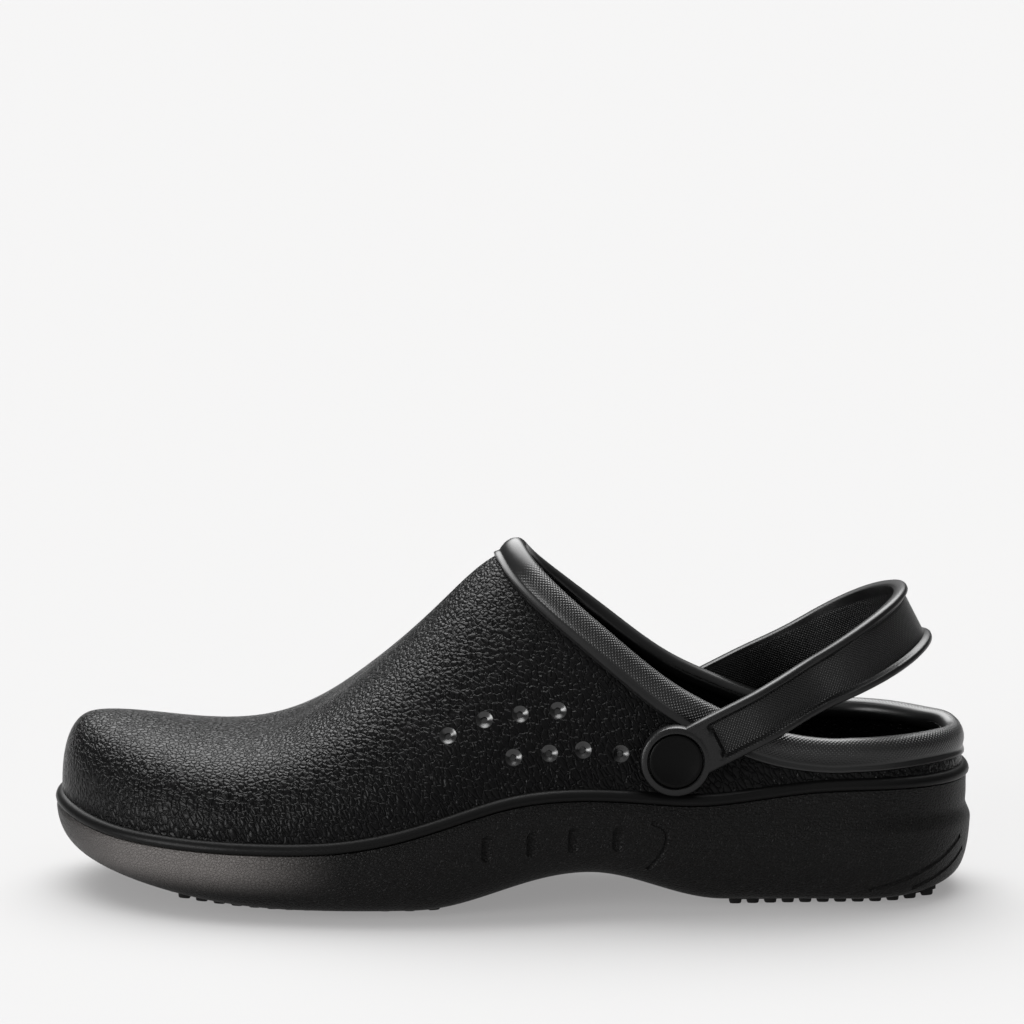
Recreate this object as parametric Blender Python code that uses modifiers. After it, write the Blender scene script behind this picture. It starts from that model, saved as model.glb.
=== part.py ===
"""Chef clog for the left foot: moulded upper, cup sole with rubber treads, footbed, heel strap and rivets.

Metres, +Z up, floor at Z 0. The toe points to -X and the outer (lateral) side faces -Y.
Shares along the shoe run from 0 at the toe's tip to 1 at the heel's back.
"""

import math

import bmesh
import bpy
import numpy as np
from mathutils import Matrix, Vector
from mathutils.bvhtree import BVHTree

# Main sizes of the shoe.
LENGTH = 0.2932
BALL_WIDTH = 0.106
TOE_BOX_HEIGHT = 0.0550
INSTEP_HEIGHT = 0.1105
SEAM_HEIGHT = 0.0376
COLLAR_HEEL_HEIGHT = 0.0540
OPENING_WIDTH = 0.5896 * BALL_WIDTH
THROAT_ALONG = 0.514

# Walls, gaps and edges.
WALL = 0.0032
SEAT_GAP = 0.0003
LATERAL = -1
MEDIAL = 1
SIDES = {"lateral": LATERAL, "medial": MEDIAL}

# Sole.
TOE_SPRING = 0.0080
TOE_SPRING_ENDS = 0.26
ARCH_RISE = 0.0099
ARCH_PEAK = 0.585
ARCH_FRONT_REACH = 0.185
ARCH_BACK_REACH = 0.15
HEEL_SPRING = 0.0030
HEEL_SPRING_STARTS = 0.90
SOLE_CLEARANCE = 0.0020
CUP_RIM = 0.0065
CUP_DRAFT = 0.0004
HEEL_SEAT_HEIGHT = 0.0245
HEEL_BAND_HEIGHT = 0.0088
HEEL_BAND_DEPTH = 0.0007
HEEL_BULGE = 0.0011

# Treads.
TREAD_THICKNESS = 0.0016
LUG_PITCH = 0.0064
LUG_LENGTH = 0.0048
LUG_HEIGHT = 0.0016
LUG_SPLIT = 0.0017
LUG_DRAFT = 0.0003
LUG_ROWS_FOREFOOT = 3
LUG_ROWS_HEEL = 3
FOREFOOT_TREAD = (0.135, 0.425)
FOREFOOT_INSET = 0.0160
HEEL_TREAD = (0.735, 0.960)
HEEL_INSET = 0.0095

# Footbed.
INSOLE_THICKNESS = 0.0042
INSOLE_CLEARANCE = 0.0006
INSOLE_CUP = 0.0030

# Bead along the upper's foot and roll along its collar.
BEAD_HEIGHT = 0.0036
BEAD_WIDTH = 0.0058
BEAD_EDGE = 0.0005
WALL_INSET = 0.0021
ROLL_WIDTH = 0.0128
ROLL_PROUD = 0.0030
ROLL_EMBED = WALL * 0.55
THROAT_THINNING = 0.10
THROAT_REACH = 0.040

# Heel strap and its rivets.
PIVOT_ALONG = 0.675
PIVOT_HEIGHT = 0.0492
EYE_RADIUS = 0.0110
STRAP_THICKNESS = 0.0044
STRAP_WEB = 0.0026
STRAP_WIDTH = 0.0162
STRAP_HEEL_WIDTH = 0.0200
STRAP_RIM = 0.0030
STRAP_LENGTH = 0.0862
STRAP_TILT = math.radians(27.3)
STRAP_HEEL_RADIUS = 0.0330
STRAP_EASING_STARTS = 0.50
BOSS_RADIUS = 0.0092
CAP_RADIUS = 0.0084
CAP_THICKNESS = 0.0022
POST_RADIUS = 0.0030
BACK_RADIUS = 0.0065
BACK_THICKNESS = 0.0016
RUNNING_GAP = 0.0003

# Vents in the quarters and slots in the sole's side.
VENT_RADIUS = 0.0019
VENT_DEPTH = 0.0018
SLOT_RADIUS = 0.0023
SLOT_LENGTH = 0.0100
SLOT_DEPTH = 0.0009
GROOVE_RADIUS = 0.0010
GROOVE_DEPTH = 0.0005

# Mesh fineness.
TOE_STEPS = 12
COLLAR_STEPS = 16
WALL_ROWS = 7
SOLE_STEPS = 26
ROLL_STEPS = 20
ROUND_SIDES = 16
VENT_SIDES = 8

# The sole's outline, as shares of the length and of the ball width.
#            along, centre, half width
OUTLINE = [
    (0.00, 0.100, 0.440),
    (0.10, 0.045, 0.458),
    (0.20, 0.003, 0.478),
    (0.30, -0.022, 0.498),
    (0.38, -0.037, 0.489),
    (0.48, -0.050, 0.445),
    (0.58, -0.050, 0.392),
    (0.68, -0.035, 0.354),
    (0.80, -0.012, 0.343),
    (0.90, 0.000, 0.345),
    (1.00, 0.000, 0.340),
]
TOE_ROUND_LENGTH = 0.22
TOE_ROUND_POWER = 2.2
HEEL_ROUND_LENGTH = 0.135
HEEL_ROUND_POWER = 2.1

# The seam between sole and upper, as shares of the seam's height at the heel.
#         along, height
SEAM = [
    (0.00, 0.690),
    (0.05, 0.605),
    (0.12, 0.560),
    (0.20, 0.548),
    (0.26, 0.553),
    (0.33, 0.595),
    (0.38, 0.670),
    (0.44, 0.805),
    (0.50, 0.935),
    (0.55, 0.975),
    (0.60, 0.965),
    (0.65, 0.925),
    (0.70, 0.893),
    (0.76, 0.930),
    (0.82, 0.985),
    (0.90, 1.005),
    (1.00, 0.985),
]

# The floor of the sole's cup, as shares of the heel seat's height.
#              along, height
CUP_FLOOR = [
    (0.00, 0.760),
    (0.10, 0.580),
    (0.22, 0.470),
    (0.34, 0.500),
    (0.45, 0.720),
    (0.58, 0.930),
    (0.70, 0.970),
    (0.82, 1.000),
    (1.00, 1.010),
]

# The sole's side wall: how square its section is, and how far its foot tucks in, as a share of TUCK.
TUCK = 0.0120
SIDE_ANGLES = (16, 28, 36, 44, 54, 66, 78, 90)
#             along, squareness, tuck
SIDE_WALL = [
    (0.00, 2.10, 1.10),
    (0.08, 2.10, 1.00),
    (0.20, 2.30, 0.90),
    (0.40, 2.30, 0.90),
    (0.58, 2.20, 1.00),
    (0.75, 2.70, 0.85),
    (0.90, 3.20, 0.75),
    (1.00, 3.30, 0.75),
]

# The crest of the upper from the toe box to the throat. Rise runs from 0 at the toe box's height
# to 1 at the instep's height, and offset is towards the inner side, as a share of the ball width.
#         along, rise, offset
CREST = [
    (0.000, -0.010, 0.085),
    (0.062, 0.000, 0.070),
    (0.120, -0.027, 0.045),
    (0.190, -0.065, 0.025),
    (0.250, -0.028, 0.012),
    (0.300, 0.098, 0.008),
    (0.343, 0.272, 0.006),
    (0.387, 0.475, 0.004),
    (0.431, 0.700, 0.002),
    (0.472, 0.900, 0.000),
    (0.514, 1.000, 0.000),
    (0.600, 1.000, -0.006),
    (0.800, 1.000, -0.006),
    (1.000, 1.000, 0.000),
]
TOE_FAN = 0.060
HEEL_FAN = 0.100

# How square the upper's arch is: below 1 squarer, above 1 leaner.
#        along, across, up
ARCH = [
    (0.00, 0.70, 0.72),
    (0.12, 0.74, 0.78),
    (0.26, 0.85, 0.88),
    (0.38, 1.05, 1.05),
    (0.48, 1.27, 1.27),
    (0.55, 1.34, 1.34),
    (0.62, 1.12, 1.12),
    (0.70, 0.92, 0.95),
    (0.80, 0.90, 0.95),
    (1.00, 0.95, 1.00),
]

# The collar's edge behind the throat. Back is the square root of the share of the way from throat
# to heel, drop runs from 0 at the instep's height to 1 at the collar's height at the heel, and
# half opening is a share of the opening's width.
#          back, drop, half opening
COLLAR = [
    (0.000, 0.000, 0.000),
    (0.140, 0.070, 0.150),
    (0.275, 0.205, 0.262),
    (0.406, 0.396, 0.345),
    (0.457, 0.488, 0.372),
    (0.523, 0.620, 0.408),
    (0.583, 0.732, 0.457),
    (0.654, 0.842, 0.512),
    (0.767, 0.985, 0.572),
    (0.884, 1.010, 0.570),
    (1.000, 1.030, 0.366),
]

# The roll's section. Down is a share of the roll's width from the collar's edge, and out is a
# share of ROLL_PROUD outside the wall, of WALL inside it.
#        down, out
ROLL_OUTSIDE = [
    (1.000, 0.07),
    (0.960, 0.40),
    (0.850, 0.40),
    (0.640, 0.38),
    (0.470, 0.80),
    (0.300, 1.03),
    (0.120, 0.95),
    (-0.040, 0.30),
]
ROLL_INNER = [
    (-0.065, -0.50),
    (0.040, -1.22),
    (0.240, -1.26),
    (0.370, -0.55),
    (0.960, -0.55),
]

# Vents: share along and height as a share of the instep's height, in two rows of four.
#        along, height
VENTS = [
    (0.4340, 0.5215),
    (0.4725, 0.5630),
    (0.5105, 0.5760),
    (0.5505, 0.5830),
    (0.5034, 0.4610),
    (0.5414, 0.4690),
    (0.5772, 0.4750),
    (0.6172, 0.4610),
]

# Slots in the arch's side: share along, and height of the middle as a share of the seam's height.
#        along, height
SLOTS = [
    (0.4760, 0.610),
    (0.5240, 0.630),
    (0.5680, 0.650),
    (0.6150, 0.640),
]

# Moulded grooves in the sole's side, each a run of points: share along, height as a share of the
# seam's height.
GROOVES = {
    "arch_end": [(0.650, 0.780), (0.664, 0.720), (0.667, 0.610), (0.660, 0.480), (0.648, 0.360)],
    "heel_upper": [(0.985, 0.520), (0.970, 0.410), (0.945, 0.300), (0.915, 0.210), (0.885, 0.150)],
    "heel_lower": [(0.990, 0.400), (0.978, 0.300), (0.958, 0.210), (0.935, 0.140)],
}


def spline(rows, column):
    """A natural cubic spline through one column of a table, as a function of its first column."""
    xs = np.array([row[0] for row in rows], float)
    ys = np.array([row[column] for row in rows], float)
    gaps = np.diff(xs)
    slopes = np.diff(ys) / gaps
    system = np.eye(len(xs))
    right = np.zeros(len(xs))
    for i in range(1, len(xs) - 1):
        system[i, i - 1 : i + 2] = gaps[i - 1], 2 * (gaps[i - 1] + gaps[i]), gaps[i]
        right[i] = 6 * (slopes[i] - slopes[i - 1])
    bends = np.linalg.solve(system, right)

    def at(x):
        x = min(max(float(x), xs[0]), xs[-1])
        i = min(int(np.searchsorted(xs, x, side="right")) - 1, len(gaps) - 1)
        h, before, after = gaps[i], xs[i + 1] - x, x - xs[i]
        return (
            (bends[i] * before**3 + bends[i + 1] * after**3) / (6 * h)
            + (ys[i] / h - bends[i] * h / 6) * before
            + (ys[i + 1] / h - bends[i + 1] * h / 6) * after
        )

    return at


centre_share = spline(OUTLINE, 1)
half_share = spline(OUTLINE, 2)
seam_share = spline(SEAM, 1)
floor_share = spline(CUP_FLOOR, 1)
squareness = spline(SIDE_WALL, 1)
tuck_share = spline(SIDE_WALL, 2)
crest_rise = spline(CREST, 1)
crest_offset = spline(CREST, 2)
arch_across = spline(ARCH, 1)
arch_up = spline(ARCH, 2)
collar_drop = spline(COLLAR, 1)
collar_open = spline(COLLAR, 2)


def smooth_step(x):
    x = min(max(x, 0.0), 1.0)
    return x * x * (3 - 2 * x)


def rounding(share, length, power):
    """0 at a round end of the outline, rising to 1 at length from it."""
    left = max(0.0, 1 - share / length)
    return (1 - left**power) ** (1 / power)


def outline_rows(side, steps=720):
    """Dense rows (angle, x, y, outward x, outward y) of the outline's one side, toe to heel."""
    angles = np.linspace(0, math.pi, steps)
    shares = (1 - np.cos(angles)) / 2
    x = (shares - 0.5) * LENGTH
    half = np.array(
        [
            half_share(s)
            * rounding(s, TOE_ROUND_LENGTH, TOE_ROUND_POWER)
            * rounding(1 - s, HEEL_ROUND_LENGTH, HEEL_ROUND_POWER)
            for s in shares
        ]
    )
    y = BALL_WIDTH * (np.array([centre_share(s) for s in shares]) + side * half)
    dx, dy = np.gradient(x), np.gradient(y)
    dx[0], dx[-1] = 0, 0
    length = np.hypot(dx, dy)
    return angles, x, y, -side * dy / length, side * dx / length


def outline_frame():
    """The bounding box's middle across the shoe, which is put on the origin."""
    ys = np.concatenate([outline_rows(side)[2] for side in SIDES.values()])
    return (ys.max() + ys.min()) / 2


OUTLINES = {side: outline_rows(side) for side in SIDES.values()}
MIDDLE_Y = outline_frame()


def heel_overhang():
    """How far the sole's swollen heel stands out behind the outline."""
    return max(-side_ring(math.radians(angle))[0](1.0) for angle in SIDE_ANGLES)


def x_at(share):
    """The place of a share along the shoe, with the whole shoe's middle at X 0."""
    return (share - 0.5) * LENGTH - heel_overhang() / 2


def edge(side, share, inset):
    """The sole's outline at a share along it, moved inwards by inset."""
    angles, x, y, out_x, out_y = OUTLINES[side]
    angle = math.acos(1 - 2 * min(max(share, 0.0), 1.0))
    px, py = np.interp(angle, angles, x), np.interp(angle, angles, y)
    nx, ny = np.interp(angle, angles, out_x), np.interp(angle, angles, out_y)
    return np.array([px - nx * inset - heel_overhang() / 2, py - ny * inset - MIDDLE_Y])


def ground(share):
    """How far the tread's underside rises above the floor: toe spring, arch and heel spring."""
    toe = TOE_SPRING * max(0.0, (TOE_SPRING_ENDS - share) / TOE_SPRING_ENDS) ** 1.6
    reach = ARCH_FRONT_REACH if share < ARCH_PEAK else ARCH_BACK_REACH
    near = min(1.0, abs(share - ARCH_PEAK) / reach)
    heel = max(0.0, (share - HEEL_SPRING_STARTS) / (1 - HEEL_SPRING_STARTS))
    return toe + ARCH_RISE * math.cos(near * math.pi / 2) ** 2 + HEEL_SPRING * heel**2


def seam_height(share):
    return SEAM_HEIGHT * seam_share(share)


def sole_bottom(share):
    return ground(share) + SOLE_CLEARANCE


def cup_floor(share):
    return HEEL_SEAT_HEIGHT * floor_share(share)


def new_object(name, mesh, where):
    obj = bpy.data.objects.new(name, mesh)
    where.objects.link(obj)
    return obj


def mesh_object(name, points, faces, where):
    """A mesh object from a loft's points and faces, with doubles merged and faces pointing out."""
    mesh = bpy.data.meshes.new(name)
    mesh.from_pydata([tuple(p) for p in points], [], faces)
    shape = bmesh.new()
    shape.from_mesh(mesh)
    bmesh.ops.remove_doubles(shape, verts=shape.verts, dist=1e-6)
    bmesh.ops.dissolve_degenerate(shape, edges=shape.edges, dist=1e-7)
    bmesh.ops.recalc_face_normals(shape, faces=shape.faces)
    shape.to_mesh(mesh)
    shape.free()
    return new_object(name, mesh, where)


def loop_faces(rings, count, closed_across=False):
    """Quads between consecutive rings of count points, each ring closed on itself."""
    faces = []
    pairs = rings if closed_across else rings - 1
    for k in range(pairs):
        low, high = k * count, ((k + 1) % rings) * count
        for j in range(count):
            after = (j + 1) % count
            faces.append((low + j, low + after, high + after, high + j))
    return faces


def loop_shares(steps):
    """(side, share) once round the outline: the outer side from toe to heel, then the inner back."""
    shares = [(1 - math.cos(math.pi * i / steps)) / 2 for i in range(steps + 1)]
    outer = [(LATERAL, s) for s in shares]
    inner = [(MEDIAL, s) for s in reversed(shares[1:-1])]
    return outer + inner


def bridge_faces(start, steps):
    """Faces that close a ring from loop_shares across the shoe, from its outer to its inner side."""
    count = 2 * steps
    faces = []
    for i in range(steps):
        a, b = start + i, start + i + 1
        c, d = start + (count - i - 1) % count, start + (count - i) % count
        faces.append((a, b, c, d) if 0 < i < steps - 1 else ((a, b, c) if i == 0 else (a, b, d)))
    return faces


def ring_solid(name, rings, steps, where):
    """A closed solid from rings round the outline, bridged across its first and last ring."""
    count = 2 * steps
    points = [p for ring in rings for p in ring]
    faces = loop_faces(len(rings), count)
    faces += bridge_faces(0, steps) + bridge_faces((len(rings) - 1) * count, steps)
    return mesh_object(name, points, faces, where)


def ring(steps, inset, height):
    """One ring: inset and height are functions of the share along the shoe."""
    points = []
    for side, share in loop_shares(steps):
        x, y = edge(side, share, inset(share))
        points.append((x, y, height(share)))
    return points


def add_boolean(obj, other, operation):
    cut = obj.modifiers.new(f"{operation.lower()} {other.name}", "BOOLEAN")
    cut.operation = operation
    cut.solver = "EXACT"
    cut.object = other
    return cut


def apply_modifiers(obj):
    """Replaces the object's mesh by its evaluated one."""
    graph = bpy.context.evaluated_depsgraph_get()
    mesh = bpy.data.meshes.new_from_object(obj.evaluated_get(graph))
    obj.modifiers.clear()
    obj.data = mesh


def helper(obj):
    """Marks a cutter or a joined shape, which is not itself a piece of the shoe."""
    obj.hide_render = True
    obj.display_type = "WIRE"
    return obj


def material(name, colour, roughness):
    """A plain finish: the shoe is black moulded foam and rubber all over."""
    made = bpy.data.materials.new(name)
    made.use_nodes = True
    shader = made.node_tree.nodes["Principled BSDF"]
    shader.inputs["Base Color"].default_value = (*colour, 1)
    shader.inputs["Roughness"].default_value = roughness
    shader.inputs["Metallic"].default_value = 0
    made.diffuse_color = (*colour, 1)
    return made


def finish(obj, look, angle=35):
    """One material on the whole piece, and smooth shading between its sharp edges."""
    obj.data.materials.clear()
    obj.data.materials.append(look)
    obj.data.shade_smooth()
    obj.data.set_sharp_from_angle(angle=math.radians(angle))


# Upper: the last's form, from the seam over the arch to the crest or the collar.


def throat_share():
    """The share of the foot whose column tops out at the throat."""
    return (THROAT_ALONG - TOE_FAN) / (1 - TOE_FAN - HEEL_FAN)


def back_of_throat(share):
    """The opening table's first column: 0 at the throat's column, 1 at the heel's."""
    return math.sqrt(max(0.0, (share - throat_share()) / (1 - throat_share())))


def collar_height(along):
    """The collar edge's height over a place along the shoe."""
    drop = collar_drop(math.sqrt(max(0.0, (along - THROAT_ALONG) / (1 - THROAT_ALONG))))
    return INSTEP_HEIGHT + (COLLAR_HEEL_HEIGHT - INSTEP_HEIGHT) * drop


def spine_share(share):
    """Where a column of the upper tops out: the columns fan round the toe and the heel."""
    return TOE_FAN + (1 - TOE_FAN - HEEL_FAN) * share


def column(side, share):
    """Foot, top and end angle of the upper's column that stands at a share on one side."""
    foot = edge(side, share, WALL_INSET)
    spine = spine_share(share)
    top = np.array([x_at(spine), BALL_WIDTH * crest_offset(spine)])
    base = seam_height(share) + SEAT_GAP + BEAD_HEIGHT / 3
    across, up = arch_across(share), arch_up(share)
    crest = TOE_BOX_HEIGHT + (INSTEP_HEIGHT - TOE_BOX_HEIGHT) * crest_rise(spine)
    end = math.pi / 2
    if spine > THROAT_ALONG:
        reach = min(OPENING_WIDTH * collar_open(back_of_throat(share)) / np.linalg.norm(foot - top), 0.97)
        end = math.acos(reach ** (1 / across))
        place = (top[0] + (foot[0] - top[0]) * reach - x_at(0.0)) / LENGTH
        crest = base + (collar_height(place) - base) / math.sin(end) ** up
    return foot, top, base, crest, across, up, end


def wall_point(shape, angle):
    """The upper's outer face on one column, at an angle from 0 at its foot to 90 degrees on top."""
    foot, top, base, crest, across, up, _ = shape
    x, y = top + (foot - top) * max(math.cos(angle), 0.0) ** across
    return (x, y, base + (crest - base) * math.sin(angle) ** up)


def upper_columns(toe_steps, collar_steps):
    """(side, share) of each column once round the upper: outer side toe to heel, inner side back."""
    throat = throat_share()
    shares = [throat * (1 - math.cos(math.pi / 2 * i / toe_steps)) for i in range(toe_steps)]
    for i in range(collar_steps + 1):
        back = math.sin(math.pi / 2 * i / collar_steps)
        shares.append(throat + (1 - throat) * back**2)
    outer = [(LATERAL, s) for s in shares]
    return outer + [(MEDIAL, s) for s in reversed(shares[1:-1])]


def upper_surface(toe_steps, collar_steps, rows, trimmed):
    """Points and faces of the upper's outer face, cut at the collar or closed over the ankle."""
    columns = upper_columns(toe_steps, collar_steps)
    shapes = [column(side, share) for side, share in columns]
    points = []
    for k in range(rows + 1):
        for shape in shapes:
            end = shape[-1] if trimmed else math.pi / 2
            points.append(wall_point(shape, end * k / rows))
    return points, loop_faces(rows + 1, len(columns))


def last_surface():
    """The upper's outer face, closed over the ankle, for finding points and normals on it."""
    points, faces = upper_surface(40, 60, 36, trimmed=False)
    return BVHTree.FromPolygons([Vector(p) for p in points], faces)


def on_last(last, point):
    """(nearest point on the last, normal there that points out of the shoe)."""
    place, normal, _, _ = last.find_nearest(Vector(point))
    middle = Vector((place.x * 0.9, 0, COLLAR_HEEL_HEIGHT / 2))
    return place, normal if normal.dot(place - middle) > 0 else -normal


def collar_loop(steps):
    """Points of the collar's edge: from the throat along the outer side, round the heel and back."""
    outer = []
    inner = []
    for i in range(steps + 1):
        back = math.sin(math.pi / 2 * i / steps)
        share = throat_share() + (1 - throat_share()) * back**2
        for side, found in ((LATERAL, outer), (MEDIAL, inner)):
            shape = column(side, share)
            found.append(Vector(wall_point(shape, shape[-1])))
    return outer + inner[-2:0:-1]


def roll_section():
    """The roll's closed section as (down, out) in metres."""
    outside = [(d * ROLL_WIDTH, o * ROLL_PROUD) for d, o in ROLL_OUTSIDE]
    inside = [(d * ROLL_WIDTH, o * WALL) for d, o in ROLL_INNER]
    return outside + inside


def smoothed(directions, rounds):
    """Directions round a closed loop, each evened out with its neighbours."""
    for _ in range(rounds):
        count = len(directions)
        directions = [
            (directions[i - 1] + 2 * directions[i] + directions[(i + 1) % count]).normalized()
            for i in range(count)
        ]
    return directions


def collar_roll(last, steps, where):
    """The rolled rim, swept along the collar's edge and laid on the last."""
    loop = collar_loop(steps)
    section = roll_section()
    normals = smoothed([on_last(last, place)[1] for place in loop], 6)
    points = []
    for i, place in enumerate(loop):
        along = (loop[(i + 1) % len(loop)] - loop[i - 1]).normalized()
        down = along.cross(normals[i]).normalized()
        if down.z > 0:
            down = -down
        slack = min(1.0, THROAT_THINNING + (place - loop[0]).length / THROAT_REACH)
        for reach, out in section:
            start, lift = place + down * reach, normals[i]
            if reach > 0:
                start, local = on_last(last, start)
                lift = lift.lerp(local, min(1.0, reach / ROLL_WIDTH)).normalized()
            thinned = -ROLL_EMBED + (out + ROLL_EMBED) * slack
            points.append(start + lift * (thinned if out < -ROLL_EMBED else out))
    faces = loop_faces(len(loop), len(section), closed_across=True)
    return mesh_object("collar roll", points, faces, where)


def foot_bead(steps, where):
    """The bead that the upper stands on, which wraps the foot of its wall."""
    section = [
        (BEAD_WIDTH, 0.0),
        (BEAD_EDGE, 0.0),
        (0.0, 0.35),
        (BEAD_EDGE, 0.72),
        (WALL_INSET, 1.00),
        (WALL_INSET + WALL / 2, 1.05),
        (BEAD_WIDTH, 0.60),
    ]
    rings = []
    for inset, up in section:
        rings.append(
            ring(
                steps,
                lambda share, inset=inset: inset,
                lambda share, up=up: seam_height(share) + SEAT_GAP + up * BEAD_HEIGHT,
            )
        )
    points = [p for one in rings for p in one]
    faces = loop_faces(len(rings), 2 * steps, closed_across=True)
    return mesh_object("foot bead", points, faces, where)


def turned(name, profile, sides, where):
    """A turned solid about its own Z: profile runs down its outer side, and a ring's comes back."""
    points = profile[:-1] if profile[0] == profile[-1] else profile
    edges = [(i, (i + 1) % len(points)) for i in range(len(profile) - 1)]
    mesh = bpy.data.meshes.new(name)
    mesh.from_pydata([(r, 0, z) for r, z in points], edges, [])
    obj = new_object(name, mesh, where)
    screw = obj.modifiers.new("turn", "SCREW")
    screw.steps = sides
    screw.render_steps = sides
    screw.use_merge_vertices = True
    screw.merge_threshold = 0.00001
    return obj


def pin(name, radius, low, high, where, sides=ROUND_SIDES):
    """A plain round pin along its own Z, for cutting and joining."""
    return turned(name, [(0, high), (radius, high), (radius, low), (0, low)], sides, where)


def across_at_pivot(side):
    """Matrix that puts a turned piece on the strap's pivot, its Z pointing out of one side."""
    turn = Matrix.Rotation(math.radians(90 if side == LATERAL else -90), 4, "X")
    return Matrix.Translation(pivot_point()) @ turn


def pivot_point():
    return Vector((x_at(PIVOT_ALONG), 0, PIVOT_HEIGHT))


def wall_at_pivot(last, side):
    """How far from the shoe's middle the upper's outer face lies at the pivot."""
    far = Vector((pivot_point().x, side * BALL_WIDTH, PIVOT_HEIGHT))
    hit, _, _, _ = last.ray_cast(far, Vector((0, -side, 0)))
    return abs(hit.y)


def eye_seat(last, side):
    """How far out the strap's eye sits: its whole disc clears the upper's wall."""
    middle = pivot_point()
    reach = []
    for i in range(ROUND_SIDES):
        angle = 2 * math.pi * i / ROUND_SIDES
        rim = middle + EYE_RADIUS * Vector((math.cos(angle), 0, math.sin(angle)))
        hit, _, _, _ = last.ray_cast(rim + Vector((0, side * BALL_WIDTH, 0)), Vector((0, -side, 0)))
        reach.append(abs(hit.y))
    return max(reach) + RUNNING_GAP


def vent_cutters(last, where):
    """Short round pins across the wall, one for each vent of each side."""
    cutters = []
    for side_name, side in SIDES.items():
        for i, (along, height) in enumerate(VENTS):
            start = Vector((x_at(along), side * BALL_WIDTH, height * INSTEP_HEIGHT))
            hit, normal, _, _ = last.ray_cast(start, Vector((0, -side, 0)))
            outwards = normal if normal.y * side > 0 else -normal
            name = f"vent {side_name} {i}"
            cutter = pin(name, VENT_RADIUS, -VENT_DEPTH, VENT_DEPTH, where, VENT_SIDES)
            turn = outwards.to_track_quat("Z", "Y").to_matrix().to_4x4()
            cutter.matrix_world = Matrix.Translation(hit) @ turn
            cutters.append(cutter)
    return cutters


def make_upper(last, pieces, cutters):
    """One hollow shell: solidified face, bead, roll and bosses joined, rivet holes and vents cut."""
    points, faces = upper_surface(TOE_STEPS, COLLAR_STEPS, WALL_ROWS, trimmed=True)
    upper = mesh_object("upper", points, faces, pieces)
    face_out(upper)
    shell = upper.modifiers.new("wall", "SOLIDIFY")
    shell.thickness = WALL
    shell.offset = -1
    shell.use_even_offset = True
    joined = [foot_bead(SOLE_STEPS, cutters), collar_roll(last, ROLL_STEPS, cutters)]
    for side_name, side in SIDES.items():
        wall = wall_at_pivot(last, side)
        outer = eye_seat(last, side) - RUNNING_GAP
        boss = pin(f"boss {side_name}", BOSS_RADIUS, wall - WALL / 2, outer, cutters)
        boss.matrix_world = across_at_pivot(side)
        joined.append(boss)
    for other in joined:
        add_boolean(upper, helper(other), "UNION")
    for side_name, side in SIDES.items():
        hole = pin(f"rivet hole {side_name}", POST_RADIUS + RUNNING_GAP, 0, BALL_WIDTH, cutters)
        hole.matrix_world = across_at_pivot(side)
        add_boolean(upper, helper(hole), "DIFFERENCE")
    for cutter in vent_cutters(last, cutters):
        add_boolean(upper, helper(cutter), "DIFFERENCE")
    bpy.context.view_layer.update()
    apply_modifiers(upper)
    return upper


def face_out(obj):
    """Turns an open shell's faces outwards, by its topmost face."""
    mesh = obj.data
    outward = sum(
        face.normal.dot(face.center - Vector((face.center.x * 0.8, 0, COLLAR_HEEL_HEIGHT / 2)))
        for face in mesh.polygons
    )
    if outward < 0:
        mesh.flip_normals()


# Sole: a cup with toe spring, arch and heel, from rings round the outline.


def side_ring(drop_angle):
    """Inset and height of the sole's side wall at an angle from 0 at the seam to 90 at its foot."""

    def drop(share):
        return math.sin(drop_angle) ** (2 / squareness(share))

    def inset(share):
        reach = TUCK * tuck_share(share) * (1 - max(math.cos(drop_angle), 0.0) ** (2 / squareness(share)))
        heel = smooth_step((share - 0.72) / 0.20)
        below = drop(share) * (seam_height(share) - sole_bottom(share))
        band = HEEL_BAND_DEPTH * smooth_step(below / HEEL_BAND_HEIGHT)
        lower = smooth_step((below - HEEL_BAND_HEIGHT) / (0.6 * HEEL_BAND_HEIGHT))
        swell = (HEEL_BAND_DEPTH + HEEL_BULGE) * lower
        return reach + heel * (band - swell) + 0.0003

    def height(share):
        return seam_height(share) + (sole_bottom(share) - seam_height(share)) * drop(share)

    return inset, height


def make_sole(pieces, cutters):
    """The cup sole with the treads' recesses, the arch's slots and the moulded grooves cut in."""
    rings = [
        ring(SOLE_STEPS, lambda s: CUP_RIM + CUP_DRAFT, cup_floor),
        ring(SOLE_STEPS, lambda s: CUP_RIM, seam_height),
        ring(SOLE_STEPS, lambda s: 0.0003, seam_height),
    ]
    for angle in SIDE_ANGLES:
        inset, height = side_ring(math.radians(angle))
        rings.append(ring(SOLE_STEPS, inset, height))
    sole = ring_solid("sole", rings, SOLE_STEPS, pieces)
    cutting = [
        tread_slab("forefoot recess", (FOREFOOT_TREAD, FOREFOOT_INSET), -SEAT_GAP, cutters),
        tread_slab("heel recess", (HEEL_TREAD, HEEL_INSET), -SEAT_GAP, cutters),
    ]
    cutting += slot_cutters(cutters) + groove_cutters(cutters)
    for cutter in cutting:
        add_boolean(sole, helper(cutter), "DIFFERENCE")
    bpy.context.view_layer.update()
    apply_modifiers(sole)
    return sole


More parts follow.
